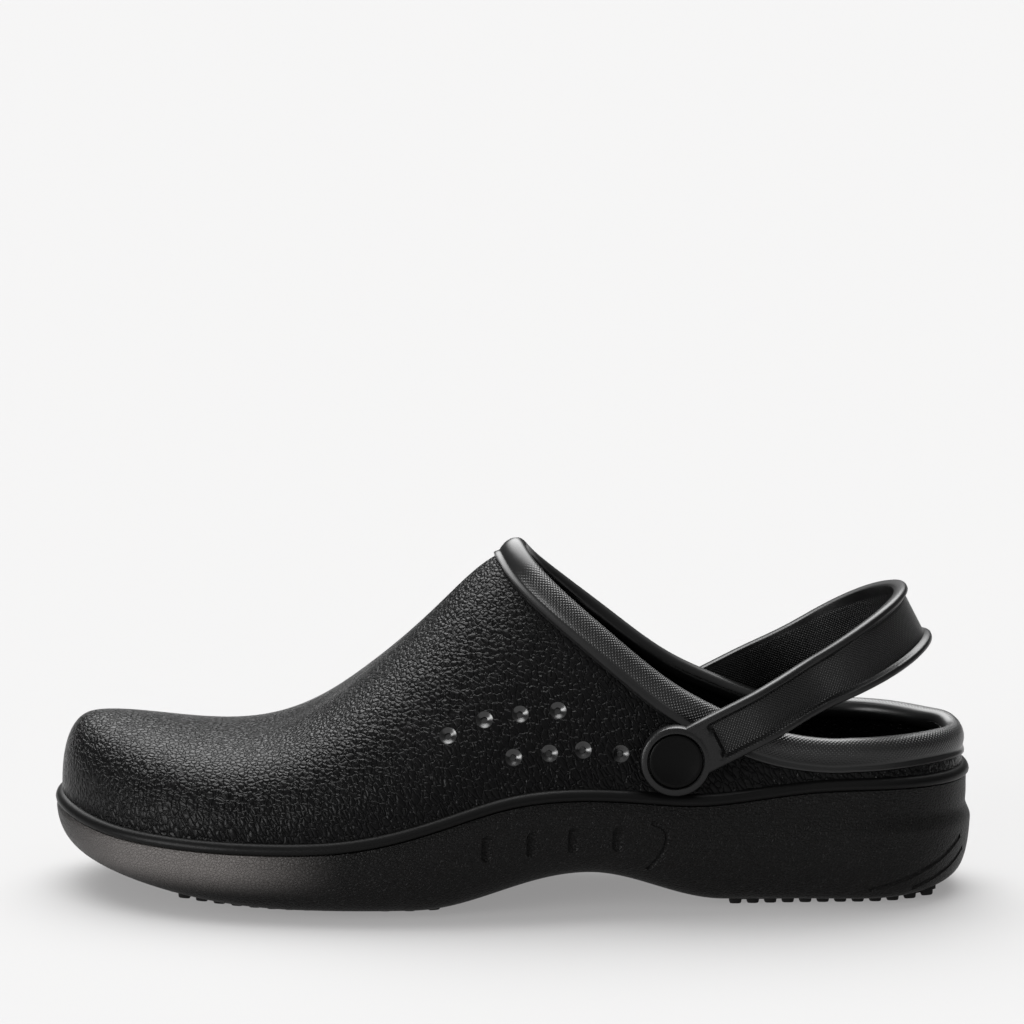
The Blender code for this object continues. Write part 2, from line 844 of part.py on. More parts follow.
def side_point(side, share, height):
    """A point on the sole's side wall at a height, with the direction out of the wall there."""
    top, bottom = seam_height(share), sole_bottom(share)
    drop = min(max((top - height) / (top - bottom), 0.0), 1.0)
    angle = math.asin(drop ** (squareness(share) / 2))
    inset, level = side_ring(angle)
    x, y = edge(side, share, inset(share))
    tilt_inset, tilt_level = side_ring(min(angle + 0.02, math.pi / 2))
    x2, y2 = edge(side, share, tilt_inset(share))
    down = Vector((x2 - x, y2 - y, tilt_level(share) - level(share)))
    ahead = Vector((*edge(side, share + 0.01, 0), 0)) - Vector((*edge(side, share - 0.01, 0), 0))
    out = down.cross(ahead).normalized()
    if out.y * side < 0:
        out = -out
    return Vector((x, y, level(share))), out


def slot_cutters(where):
    """A capsule for each slot, sunk into the side wall by the slot's depth."""
    cutters = []
    for side_name, side in SIDES.items():
        for i, (share, level) in enumerate(SLOTS):
            place, out = side_point(side, share, level * SEAM_HEIGHT)
            length = SLOT_LENGTH / 2 - SLOT_RADIUS
            steps = [math.radians(a) for a in (90, 60, 30, 0)]
            top = [(SLOT_RADIUS * math.cos(a), length + SLOT_RADIUS * math.sin(a)) for a in steps]
            profile = top + [(r, -z) for r, z in reversed(top)]
            profile[0], profile[-1] = (0, length + SLOT_RADIUS), (0, -length - SLOT_RADIUS)
            slot = turned(f"slot {side_name} {i}", profile, VENT_SIDES, where)
            up = (Vector((0, 0, 1)) - out * out.z).normalized()
            middle = place + out * (SLOT_RADIUS - SLOT_DEPTH)
            turn = up.to_track_quat("Z", "Y").to_matrix().to_4x4()
            slot.matrix_world = Matrix.Translation(middle) @ turn
            cutters.append(slot)
    return cutters


def groove_cutters(where):
    """A thin tube along each moulded groove, with its axis just outside the side wall."""
    cutters = []
    for side_name, side in SIDES.items():
        for name, run in GROOVES.items():
            shares = spline([(i, *row) for i, row in enumerate(run)], 1)
            levels = spline([(i, *row) for i, row in enumerate(run)], 2)
            path = []
            for i in range(2 * len(run) - 1):
                place, out = side_point(side, shares(i / 2), levels(i / 2) * SEAM_HEIGHT)
                path.append(place + out * (GROOVE_RADIUS - GROOVE_DEPTH))
            cutters.append(tube(f"groove {name} {side_name}", path, GROOVE_RADIUS, 6, where))
    return cutters


def tube(name, path, radius, sides, where):
    """A capped tube along a path, as a mesh."""
    points = []
    for i, place in enumerate(path):
        before, after = path[max(i - 1, 0)], path[min(i + 1, len(path) - 1)]
        along = (after - before).normalized()
        first = along.orthogonal().normalized()
        if i and first.dot(last_first) < 0.99:
            first = (last_first - along * last_first.dot(along)).normalized()
        last_first = first
        second = along.cross(first)
        for k in range(sides):
            angle = 2 * math.pi * k / sides
            points.append(place + radius * (first * math.cos(angle) + second * math.sin(angle)))
    faces = loop_faces(len(path), sides)
    faces += [tuple(range(sides)), tuple(range((len(path) - 1) * sides, len(path) * sides))]
    return mesh_object(name, points, faces, where)


# Treads: slabs let into the sole, with rows of lugs that reach the floor.


def tread_edge(side, share, inset):
    """The tread's side at a share along the shoe, as far in from the outline as the inset."""
    return edge(side, share, inset)[1]


def tread_slab(name, tread, clearance, where, levels=None):
    """A slab under the sole; a negative clearance makes the sole's recess for it."""
    (first, last), inset = tread
    grow = -clearance / LENGTH
    if levels is None:
        steps = 12
        shares = [first - grow + (last - first + 2 * grow) * i / steps for i in range(steps + 1)]
        levels = [(share, -SOLE_CLEARANCE - LUG_HEIGHT) for share in shares]
    points = []
    for share, depth in levels:
        ceiling = sole_bottom(share) + TREAD_THICKNESS - clearance
        floor = sole_bottom(share) + depth
        x = x_at(share)
        for side in (LATERAL, MEDIAL):
            y = tread_edge(side, share, inset + clearance)
            points += [(x, y, ceiling), (x, y, floor)]
    faces = []
    for i in range(len(levels) - 1):
        a, b = 4 * i, 4 * i + 4
        faces += [
            (a, a + 2, b + 2, b),
            (a + 1, b + 1, b + 3, a + 3),
            (a, b, b + 1, a + 1),
            (a + 2, a + 3, b + 3, b + 2),
        ]
    end = 4 * (len(levels) - 1)
    faces += [(0, 1, 3, 2), (end, end + 2, end + 3, end + 1)]
    return mesh_object(name, points, faces, where)


def lug_levels(span):
    """(share, depth below the sole) along a tread: level between lugs, deeper on each lug."""
    first, last = span
    length = (last - first) * LENGTH
    count = int(length // LUG_PITCH)
    lead = (length - count * LUG_PITCH + LUG_PITCH - LUG_LENGTH) / 2
    between = LUG_HEIGHT - SOLE_CLEARANCE
    levels = [(first, between)]
    for i in range(count):
        start = lead + i * LUG_PITCH
        for reach, depth in (
            (start, between),
            (start + LUG_DRAFT, -SOLE_CLEARANCE),
            (start + LUG_LENGTH - LUG_DRAFT, -SOLE_CLEARANCE),
            (start + LUG_LENGTH, between),
        ):
            levels.append((first + reach / LENGTH, depth))
    levels.append((last, between))
    return levels


def make_tread(name, tread, lug_rows, pieces, cutters):
    """A tread with its lugs, whose rows are parted by grooves along the shoe."""
    span, inset = tread
    slab = tread_slab(name, tread, 0.0, pieces, lug_levels(span))
    steps = 6
    for row in range(1, lug_rows):
        path = []
        for k in range(steps + 1):
            share = span[0] + (span[1] - span[0]) * (-0.1 + 1.2 * k / steps)
            outer, inner = (tread_edge(side, share, inset) for side in (LATERAL, MEDIAL))
            y = outer + (inner - outer) * row / lug_rows
            path.append((x_at(share), y, sole_bottom(share) + LUG_HEIGHT - SOLE_CLEARANCE))
        groove = groove_block(f"split {name} {row}", path, cutters)
        add_boolean(slab, helper(groove), "DIFFERENCE")
    bpy.context.view_layer.update()
    apply_modifiers(slab)
    return slab


def groove_block(name, path, where):
    """A bar along a path, as wide as the gap between two lugs and open below."""
    half = LUG_SPLIT / 2
    points = []
    for x, y, z in path:
        points += [(x, y - half, z - SOLE_CLEARANCE * 3), (x, y + half, z - SOLE_CLEARANCE * 3)]
        points += [(x, y + half, z), (x, y - half, z)]
    faces = loop_faces(len(path), 4)
    faces += [(0, 1, 2, 3), tuple(range(4 * (len(path) - 1), 4 * len(path)))]
    return mesh_object(name, points, faces, where)


# Footbed: a loose slab with a raised edge that lies on the cup's floor.


def make_insole(pieces):
    inset = CUP_RIM + CUP_DRAFT + INSOLE_CLEARANCE

    def dish(share):
        return INSOLE_CUP * smooth_step((share - 0.40) / 0.25)

    def at(extra, up, lift):
        return ring(
            SOLE_STEPS,
            lambda s: inset + extra,
            lambda s: cup_floor(s) + SEAT_GAP + up + lift * dish(s),
        )

    rings = [
        at(0.0060, 0.0, 0.0),
        at(0.0, 0.0, 0.0),
        at(0.0, INSOLE_THICKNESS * 0.75, 0.75),
        at(0.0015, INSOLE_THICKNESS, 1.0),
        at(0.0070, INSOLE_THICKNESS, 0.35),
        at(0.0140, INSOLE_THICKNESS, 0.0),
    ]
    return ring_solid("insole", rings, SOLE_STEPS, pieces)


# Heel strap: a band that runs from one eye round the heel to the other.


def strap_path(last, steps, bend_steps):
    """Places (along, across) of the band's middle in the strap's plane, from eye to eye.

    The plane holds the pivot's axis and rises towards the heel by the strap's tilt.
    """
    radius = STRAP_HEEL_RADIUS
    straight = STRAP_LENGTH - radius
    halves = []
    for side in (LATERAL, MEDIAL):
        start = eye_seat(last, side) + STRAP_THICKNESS / 2
        half = []
        for i in range(steps + 1):
            share = i / steps
            ease = smooth_step((share - STRAP_EASING_STARTS) / (1 - STRAP_EASING_STARTS))
            half.append((share * straight, side * (start + (radius - start) * ease)))
        for i in range(1, bend_steps + 1):
            angle = math.pi / 2 * i / bend_steps
            half.append((straight + radius * math.sin(angle), side * radius * math.cos(angle)))
        halves.append(half)
    return halves[0] + halves[1][-2::-1]


def strap_width(reach):
    """The band's width at a distance along the strap's plane from the pivot."""
    ease = smooth_step((reach / STRAP_LENGTH - 0.45) / 0.5)
    return STRAP_WIDTH + (STRAP_HEEL_WIDTH - STRAP_WIDTH) * ease


def strap_depth(reach, across, width):
    """How far the outer face is sunk below the rims at a place on the band."""
    from_eye = math.hypot(reach, across)
    clear_of_eye = smooth_step((from_eye - EYE_RADIUS * 1.28) / 0.0018)
    to_rim = width / 2 - abs(across)
    clear_of_rim = smooth_step((to_rim - STRAP_RIM * 0.55) / (STRAP_RIM * 0.7))
    return (STRAP_THICKNESS - STRAP_WEB) * clear_of_eye * clear_of_rim


def make_strap(last, pieces, cutters):
    """The band, an eye joined to each end, and the stepped hole for each rivet."""
    path = strap_path(last, 8, 8)
    across_shares = [-0.5, -0.47, -0.40, -0.30, -0.20, 0.0, 0.20, 0.30, 0.40, 0.47, 0.5]
    points = []
    count = 0
    for i, (u, v) in enumerate(path):
        u0, v0 = path[max(i - 1, 0)]
        u1, v1 = path[min(i + 1, len(path) - 1)]
        length = math.hypot(u1 - u0, v1 - v0)
        out_u, out_v = -(v1 - v0) / length, (u1 - u0) / length
        if out_u * u + out_v * v < 0:
            out_u, out_v = -out_u, -out_v
        width = strap_width(u)
        section = []
        for share in across_shares:
            sunk = strap_depth(u, share * width, width)
            round_off = 0.0011 if abs(share) == 0.5 else (0.0003 if abs(share) == 0.47 else 0.0)
            section.append((share * width, STRAP_THICKNESS / 2 - sunk - round_off))
        section += [(share * width, -STRAP_THICKNESS / 2) for share in (0.47, 0.2, -0.2, -0.47)]
        section[len(across_shares) - 1] = (0.5 * width, STRAP_THICKNESS / 2 - 0.0011)
        count = len(section)
        for across, out in section:
            points.append((u + out_u * out, v + out_v * out, across))
    faces = loop_faces(len(path), count)
    faces += [tuple(range(count)), tuple(range((len(path) - 1) * count, len(path) * count))]
    strap = mesh_object("heel_strap", points, faces, pieces)
    strap.matrix_world = Matrix.Translation(pivot_point()) @ Matrix.Rotation(-STRAP_TILT, 4, "Y")
    for side_name, side in SIDES.items():
        low = eye_seat(last, side) - 0.0001
        eye = pin(f"eye {side_name}", EYE_RADIUS, low, low + STRAP_THICKNESS + 0.0002, cutters)
        eye.matrix_world = across_at_pivot(side)
        add_boolean(strap, helper(eye), "UNION")
    for side_name, side in SIDES.items():
        inner = eye_seat(last, side)
        seat = inner + STRAP_THICKNESS - CAP_THICKNESS - RUNNING_GAP
        hole = turned(
            f"eye hole {side_name}",
            [
                (0, BALL_WIDTH),
                (CAP_RADIUS + RUNNING_GAP, BALL_WIDTH),
                (CAP_RADIUS + RUNNING_GAP, seat),
                (POST_RADIUS + RUNNING_GAP, seat),
                (POST_RADIUS + RUNNING_GAP, inner / 2),
                (0, inner / 2),
            ],
            ROUND_SIDES,
            cutters,
        )
        hole.matrix_world = across_at_pivot(side)
        add_boolean(strap, helper(hole), "DIFFERENCE")
    bpy.context.view_layer.update()
    apply_modifiers(strap)
    return strap


# Rivets: a cap with its post outside, and a ring on the post inside.


def make_rivets(last, pieces):
    made = []
    for side_name, side in SIDES.items():
        inside = wall_at_pivot(last, side) - WALL - 0.0024
        face = eye_seat(last, side) + STRAP_THICKNESS
        cap = turned(
            f"rivet_cap_{side_name}",
            [
                (0, face - 0.0001),
                (CAP_RADIUS - 0.0010, face - 0.0001),
                (CAP_RADIUS - 0.0002, face - 0.0004),
                (CAP_RADIUS, face - 0.0010),
                (CAP_RADIUS, face - CAP_THICKNESS),
                (POST_RADIUS, face - CAP_THICKNESS),
                (POST_RADIUS, inside - BACK_THICKNESS),
                (0, inside - BACK_THICKNESS),
            ],
            ROUND_SIDES,
            pieces,
        )
        bore = POST_RADIUS + RUNNING_GAP
        back = turned(
            f"rivet_back_{side_name}",
            [
                (bore, inside),
                (BACK_RADIUS, inside),
                (BACK_RADIUS, inside - BACK_THICKNESS * 0.6),
                (BACK_RADIUS - 0.0008, inside - BACK_THICKNESS),
                (bore, inside - BACK_THICKNESS),
                (bore, inside),
            ],
            ROUND_SIDES,
            pieces,
        )
        for obj in (cap, back):
            obj.matrix_world = across_at_pivot(side)
            made.append(obj)
    return made


def main():
    for obj in list(bpy.data.objects):
        bpy.data.objects.remove(obj)
    pieces = bpy.data.collections.new("chef clog")
    cutters = bpy.data.collections.new("cutters")
    for where in (pieces, cutters):
        bpy.context.scene.collection.children.link(where)
    foam = material("black foam", (0.016, 0.016, 0.017), 0.55)
    rubber = material("black rubber", (0.020, 0.019, 0.019), 0.65)
    lining = material("black footbed", (0.018, 0.018, 0.018), 0.80)
    plastic = material("black cap", (0.010, 0.010, 0.010), 0.35)
    last = last_surface()
    finish(make_upper(last, pieces, cutters), foam)
    finish(make_sole(pieces, cutters), foam)
    forefoot = (FOREFOOT_TREAD, FOREFOOT_INSET)
    heel = (HEEL_TREAD, HEEL_INSET)
    finish(make_tread("tread_forefoot", forefoot, LUG_ROWS_FOREFOOT, pieces, cutters), rubber)
    finish(make_tread("tread_heel", heel, LUG_ROWS_HEEL, pieces, cutters), rubber)
    finish(make_insole(pieces), lining)
    finish(make_strap(last, pieces, cutters), foam)
    for rivet in make_rivets(last, pieces):
        finish(rivet, plastic)


main()
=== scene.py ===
"""Looks of the chef clog: black foam upper and sole, rubber treads, footbed, heel strap and rivets.

Metres, +Z up, floor at Z 0. The toe points to -X and the outer (lateral) side faces -Y.
Shares along the shoe run from 0 at the toe's tip to 1 at the heel's back.
"""

import math

import bmesh
import bpy
import numpy as np
from mathutils import Matrix, Vector
from mathutils.bvhtree import BVHTree


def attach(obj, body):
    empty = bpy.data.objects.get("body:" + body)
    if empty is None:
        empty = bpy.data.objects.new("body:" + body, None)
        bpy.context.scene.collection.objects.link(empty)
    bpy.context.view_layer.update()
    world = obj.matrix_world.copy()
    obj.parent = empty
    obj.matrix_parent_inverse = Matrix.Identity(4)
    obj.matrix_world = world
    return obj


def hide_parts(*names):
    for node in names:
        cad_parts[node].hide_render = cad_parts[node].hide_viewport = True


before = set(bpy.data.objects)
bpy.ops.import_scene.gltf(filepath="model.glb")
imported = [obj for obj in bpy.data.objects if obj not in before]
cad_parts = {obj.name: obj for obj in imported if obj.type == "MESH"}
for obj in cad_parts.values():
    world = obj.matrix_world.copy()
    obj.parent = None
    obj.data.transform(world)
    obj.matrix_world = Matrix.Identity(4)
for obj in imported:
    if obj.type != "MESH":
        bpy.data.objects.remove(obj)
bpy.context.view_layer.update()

# The sole is a cup of black foam, moulded in one. Its foot rises at the toe and under the arch, a band
# runs round its heel, and slots and grooves are pressed into its sides. A fine grain covers it, and
# its toe is painted a paler grey: a painted reflection of the pale floor, not a tone of the foam.
LATERAL, MEDIAL = -1, 1
LENGTH = 0.2932
BALL_WIDTH = 0.106
SEAM_HEIGHT = 0.0376
HEEL_SEAT_HEIGHT = 0.0245
SEAT_GAP = 0.0003
SOLE_CLEARANCE = 0.0020
CUP_RIM = 0.0065
CUP_DRAFT = 0.0004
TUCK = 0.0120
HEEL_BAND_HEIGHT = 0.0088
HEEL_BAND_DEPTH = 0.0007
HEEL_BULGE = 0.0011
HEEL_BAND_STARTS = 0.72
HEEL_BAND_RUN_IN = 0.20
TOE_SPRING = 0.0080
TOE_SPRING_ENDS = 0.26
ARCH_RISE = 0.0099
ARCH_ALONG = 0.585
ARCH_AHEAD, ARCH_BEHIND = 0.185, 0.15
HEEL_SPRING = 0.0030
HEEL_SPRING_STARTS = 0.90
TOE_ROUND = (0.22, 2.2)
HEEL_ROUND = (0.135, 2.1)
SLOT_RADIUS = 0.0023
SLOT_HALF = 0.0027
SLOT_LIFT = 0.0014
GROOVE_RADIUS = 0.0010
GROOVE_LIFT = 0.0005
SOLE_GRAIN = 0.0009
SOLE_STEPS = 230
SIDE_RINGS = 64
#            along, centre, half width
OUTLINE = [
    (0.00, 0.100, 0.440),
    (0.10, 0.045, 0.458),
    (0.20, 0.003, 0.478),
    (0.30, -0.022, 0.498),
    (0.38, -0.037, 0.489),
    (0.48, -0.050, 0.445),
    (0.58, -0.050, 0.392),
    (0.68, -0.035, 0.354),
    (0.80, -0.012, 0.343),
    (0.90, 0.000, 0.345),
    (1.00, 0.000, 0.340),
]
#         along, height
SEAM = [
    (0.00, 0.690),
    (0.05, 0.605),
    (0.12, 0.560),
    (0.20, 0.548),
    (0.26, 0.553),
    (0.33, 0.595),
    (0.38, 0.670),
    (0.44, 0.805),
    (0.50, 0.935),
    (0.55, 0.975),
    (0.60, 0.965),
    (0.65, 0.925),
    (0.70, 0.893),
    (0.76, 0.930),
    (0.82, 0.985),
    (0.90, 1.005),
    (1.00, 0.985),
]
#              along, height
CUP_FLOOR = [
    (0.00, 0.760),
    (0.10, 0.580),
    (0.22, 0.470),
    (0.34, 0.500),
    (0.45, 0.720),
    (0.58, 0.930),
    (0.70, 0.970),
    (0.82, 1.000),
    (1.00, 1.010),
]
#             along, squareness, tuck
SIDE_WALL = [
    (0.00, 2.10, 1.10),
    (0.08, 2.10, 1.00),
    (0.20, 2.30, 0.90),
    (0.40, 2.30, 0.90),
    (0.58, 2.20, 1.00),
    (0.75, 2.70, 0.85),
    (0.90, 3.20, 0.75),
    (1.00, 3.30, 0.75),
]
#        along, height as a share of the seam's
SLOTS = [
    (0.4760, 0.610),
    (0.5240, 0.630),
    (0.5680, 0.650),
    (0.6150, 0.640),
]
GROOVES = {
    "arch_end": [(0.650, 0.780), (0.664, 0.720), (0.667, 0.610), (0.660, 0.480), (0.648, 0.360)],
    "heel_upper": [(0.985, 0.520), (0.970, 0.410), (0.945, 0.300), (0.915, 0.210), (0.885, 0.150)],
    "heel_lower": [(0.990, 0.400), (0.978, 0.300), (0.958, 0.210), (0.935, 0.140)],
}
# Where the sole's toe is painted paler, as a painted reflection of the floor's light on its side.
#            axis, not at all, in full
PAINTED_TOE_REFLECTION = [
    ("X", -0.050, -0.096),
    ("X", -0.152, -0.116),
    ("Z", 0.006, 0.016),
]


def spline(rows, column):
    """A natural cubic spline through one column of a table, as a function of its first column."""
    xs, ys = np.array(rows, float)[:, [0, column]].T
    gaps = np.diff(xs)
    slopes = np.diff(ys) / gaps
    system = np.eye(len(xs))
    right = np.zeros(len(xs))
    for i in range(1, len(xs) - 1):
        system[i, i - 1 : i + 2] = gaps[i - 1], 2 * (gaps[i - 1] + gaps[i]), gaps[i]
        right[i] = 6 * (slopes[i] - slopes[i - 1])
    bends = np.linalg.solve(system, right)

    def at(x):
        x = np.clip(x, xs[0], xs[-1])
        i = np.minimum(np.searchsorted(xs, x, side="right") - 1, len(gaps) - 1)
        h, before, after = gaps[i], xs[i + 1] - x, x - xs[i]
        cubic = (bends[i] * before**3 + bends[i + 1] * after**3) / (6 * h)
        line = (ys[i] / h - bends[i] * h / 6) * before
        return cubic + line + (ys[i + 1] / h - bends[i + 1] * h / 6) * after

    return at


def smooth_step(x):
    x = np.clip(x, 0.0, 1.0)
    return x * x * (3 - 2 * x)


def rounded(share, reach, power):
    """How wide a rounded end is at a share from its tip, as a share of its full width."""
    return (1 - np.maximum(0, 1 - share / reach) ** power) ** (1 / power)


def outline_rows(side):
    """Dense rows (angle, x, y, outward x, outward y) of the outline's one side, toe to heel."""
    angles = np.linspace(0, math.pi, 1440)
    shares = (1 - np.cos(angles)) / 2
    toe, heel = rounded(shares, *TOE_ROUND), rounded(1 - shares, *HEEL_ROUND)
    half = spline(OUTLINE, 2)(shares) * toe * heel
    x = (shares - 0.5) * LENGTH
    y = BALL_WIDTH * (spline(OUTLINE, 1)(shares) + side * half)
    dx, dy = np.gradient(x), np.gradient(y)
    dx[0], dx[-1] = 0, 0
    length = np.hypot(dx, dy)
    return angles, x, y, -side * dy / length, side * dx / length


OUTLINES = {side: outline_rows(side) for side in (LATERAL, MEDIAL)}
across_all = np.concatenate([rows[2] for rows in OUTLINES.values()])
MIDDLE_Y = (across_all.max() + across_all.min()) / 2
seam_share = spline(SEAM, 1)
floor_share = spline(CUP_FLOOR, 1)
squareness = spline(SIDE_WALL, 1)
tuck_share = spline(SIDE_WALL, 2)


def ground(share):
    """How far the tread's underside rises above the floor: toe spring, arch and heel spring."""
    toe = TOE_SPRING * np.maximum(0.0, (TOE_SPRING_ENDS - share) / TOE_SPRING_ENDS) ** 1.6
    reach = np.where(share < ARCH_ALONG, ARCH_AHEAD, ARCH_BEHIND)
    near = np.minimum(1.0, np.abs(share - ARCH_ALONG) / reach)
    heel = np.maximum(0.0, (share - HEEL_SPRING_STARTS) / 0.10)
    return toe + ARCH_RISE * np.cos(near * math.pi / 2) ** 2 + HEEL_SPRING * heel**2


def seam_height(share):
    return SEAM_HEIGHT * seam_share(share)


def sole_bottom(share):
    return ground(share) + SOLE_CLEARANCE


def cup_floor(share):
    return HEEL_SEAT_HEIGHT * floor_share(share)


def side_inset(share, angle):
    """How far in the sole's side wall stands, at an angle from 0 at the seam to 90 degrees at its foot."""
    curve = 2 / squareness(share)
    reach = TUCK * tuck_share(share) * (1 - np.maximum(np.cos(angle), 0.0) ** curve)
    below = np.sin(angle) ** curve * (seam_height(share) - sole_bottom(share))
    band = HEEL_BAND_DEPTH * smooth_step(below / HEEL_BAND_HEIGHT)
    swell = (HEEL_BAND_DEPTH + HEEL_BULGE) * smooth_step((below / HEEL_BAND_HEIGHT - 1) / 0.6)
    near_heel = smooth_step((share - HEEL_BAND_STARTS) / HEEL_BAND_RUN_IN)
    return reach + near_heel * (band - swell) + SEAT_GAP


def side_level(share, angle):
    drop = np.sin(angle) ** (2 / squareness(share))
    return seam_height(share) + (sole_bottom(share) - seam_height(share)) * drop


OVERHANG = max(-side_inset(1.0, math.radians(angle)) for angle in (16, 28, 36, 44, 54, 66, 78, 90))


def x_at(share):
    return (share - 0.5) * LENGTH - OVERHANG / 2


def edge(side, share, inset):
    """The sole's outline at shares along it, moved inwards by inset."""
    angles, x, y, out_x, out_y = OUTLINES[side]
    angle = np.arccos(1 - 2 * np.clip(share, 0.0, 1.0))
    px, py, nx, ny = (np.interp(angle, angles, row) for row in (x, y, out_x, out_y))
    return np.stack([px - nx * inset - OVERHANG / 2, py - ny * inset - MIDDLE_Y], axis=-1)


def ring(steps, inset, height):
    """Points once round the outline: the outer side from toe to heel, then the inner side back."""
    shares = (1 - np.cos(np.linspace(0, math.pi, steps + 1))) / 2
    sides = []
    for side in (LATERAL, MEDIAL):
        place = edge(side, shares, inset(shares))
        sides.append(np.column_stack([place, height(shares)]))
    return np.vstack([sides[0], sides[1][-2:0:-1]])


def loop_faces(rings, count, closed_across=False):
    """Quads between consecutive rings of count points, each ring closed on itself."""
    faces = []
    for k in range(rings if closed_across else rings - 1):
        low, high = k * count, ((k + 1) % rings) * count
        for j in range(count):
            after = (j + 1) % count
            faces.append((low + j, low + after, high + after, high + j))
    return faces


def end_faces(rings, count):
    """The faces that close the first and the last of several rings of count points."""
    return [tuple(range(count)), tuple(range((rings - 1) * count, rings * count))]


def cap(points, faces, start, steps, rows):
    """Closes a ring across the shoe, with rows of faces from its outer to its inner side."""
    count = 2 * steps
    outer = [start + i for i in range(steps + 1)]
    inner = [start + (count - i) % count for i in range(steps + 1)]
    lines = [outer]
    for k in range(1, rows):
        lines.append([len(points) + i for i in range(steps + 1)])
        points += [points[a] + (points[b] - points[a]) * (k / rows) for a, b in zip(outer, inner)]
    lines.append(inner)
    for near, far in zip(lines, lines[1:]):
        faces += [(near[i], near[i + 1], far[i + 1], far[i]) for i in range(steps)]


def tidy(mesh):
    """Merges doubles and turns the faces outwards."""
    shape = bmesh.new()
    shape.from_mesh(mesh)
    bmesh.ops.remove_doubles(shape, verts=shape.verts, dist=1e-6)
    bmesh.ops.dissolve_degenerate(shape, edges=shape.edges, dist=1e-7)
    bmesh.ops.recalc_face_normals(shape, faces=shape.faces)
    shape.to_mesh(mesh)
    shape.free()


def put_in_scene(name, data):
    made = bpy.data.objects.new(name, data)
    bpy.context.scene.collection.objects.link(made)
    return made


def mesh_object(name, points, faces, uvs=None, grain=None):
    """A mesh object in the scene; uvs holds one pair for each corner, grain one number for each point."""
    mesh = bpy.data.meshes.new(name)
    mesh.from_pydata([tuple(p) for p in points], [], faces)
    if uvs is not None:
        mesh.uv_layers.new(name="UVMap").data.foreach_set("uv", np.array(uvs, float).ravel())
    if grain is not None:
        mesh.attributes.new("grain", "FLOAT", "POINT").data.foreach_set("value", grain)
    tidy(mesh)
    return put_in_scene(name, mesh)


def ring_solid(name, rings, steps, rows):
    points = [p for one in rings for p in one]
    faces = loop_faces(len(rings), 2 * steps)
    cap(points, faces, 0, steps, rows)
    cap(points, faces, (len(rings) - 1) * 2 * steps, steps, rows)
    return mesh_object(name, points, faces)


def bake(obj):
    """Replaces the object's mesh by its evaluated one and drops its modifiers."""
    bpy.context.view_layer.update()
    graph = bpy.context.evaluated_depsgraph_get()
    mesh = bpy.data.meshes.new_from_object(obj.evaluated_get(graph))
    obj.modifiers.clear()
    obj.data = mesh


def cut(obj, cutter, operation="DIFFERENCE"):
    """Cuts one mesh out of the object, or joins it on, and removes the cutter."""
    step = obj.modifiers.new(operation.lower(), "BOOLEAN")
    step.operation = operation
    step.solver = "EXACT"
    step.object = cutter
    bake(obj)
    bpy.data.objects.remove(cutter)


def smooth(obj, angle=35):
    obj.data.shade_smooth()
    obj.data.set_sharp_from_angle(angle=math.radians(angle))


def dress(piece, look, angle=35):
    """Gives a piece its material and smooth shading, with edges sharper than the angle kept."""
    piece.data.materials.append(look)
    smooth(piece, angle)


def turned(profile, sides, matrix):
    """Points and faces of a turned shape: profile is (radius, height) along the matrix's own Z."""
    points = []
    for radius, height in profile:
        for i in range(sides):
            angle = 2 * math.pi * i / sides
            points.append(matrix @ Vector((radius * math.cos(angle), radius * math.sin(angle), height)))
    return points, loop_faces(len(profile), sides)


def several(name, shapes):
    """One mesh object from several (points, faces) shapes that don't touch."""
    points, faces = [], []
    for more_points, more_faces in shapes:
        start = len(points)
        points += list(more_points)
        faces += [tuple(start + i for i in face) for face in more_faces]
    return mesh_object(name, points, faces)


def side_point(side, share, height):
    """A point on the sole's side wall at a height, with the direction out of the wall there."""
    top, bottom = seam_height(share), sole_bottom(share)
    drop = min(max((top - height) / (top - bottom), 0.0), 1.0)
    angle = math.asin(drop ** (squareness(share) / 2))
    lower = min(angle + 0.02, math.pi / 2)
    here = Vector((*edge(side, share, side_inset(share, angle)), side_level(share, angle)))
    below = Vector((*edge(side, share, side_inset(share, lower)), side_level(share, lower)))
    ahead = Vector((*(edge(side, share + 0.01, 0) - edge(side, share - 0.01, 0)), 0))
    out = (below - here).cross(ahead).normalized()
    return here, -out if out.y * side < 0 else out


def tube(path, radius, sides):
    """Points and faces of a capped tube along a path."""
    points = []
    first = None
    for i, place in enumerate(path):
        along = (path[min(i + 1, len(path) - 1)] - path[max(i - 1, 0)]).normalized()
        first = along.orthogonal() if first is None else first - along * first.dot(along)
        first.normalize()
        second = along.cross(first)
        for k in range(sides):
            angle = 2 * math.pi * k / sides
            points.append(place + radius * (first * math.cos(angle) + second * math.sin(angle)))
    return points, loop_faces(len(path), sides) + end_faces(len(path), sides)


def node(tree, kind, inputs=None, **settings):
    """A new node; inputs holds a number, a colour or another node's output for each named socket."""
    made = tree.nodes.new(kind)
    for key, value in settings.items():
        setattr(made, key, value)
    for key, value in (inputs or {}).items():
        if isinstance(value, bpy.types.NodeSocket):
            tree.links.new(value, made.inputs[key])
        else:
            made.inputs[key].default_value = value
    return made


def noise(tree, coords, scale, detail):
    made = node(tree, "ShaderNodeTexNoise", {"Vector": coords, "Scale": scale, "Detail": detail})
    return made.outputs["Fac"]


def number(tree, operation, *values):
    """One sum of a material, from plain numbers or other nodes' outputs."""
    return node(tree, "ShaderNodeMath", dict(enumerate(values)), operation=operation).outputs["Value"]


def fade(tree, value, start, end, low=0.0, high=1.0, curve="SMOOTHSTEP"):
    """A number that goes from low to high while value goes from start to end."""
    made = node(
        tree,
        "ShaderNodeMapRange",
        {"Value": value, "From Min": start, "From Max": end, "To Min": low, "To Max": high},
        interpolation_type=curve,
    )
    return made.outputs["Result"]


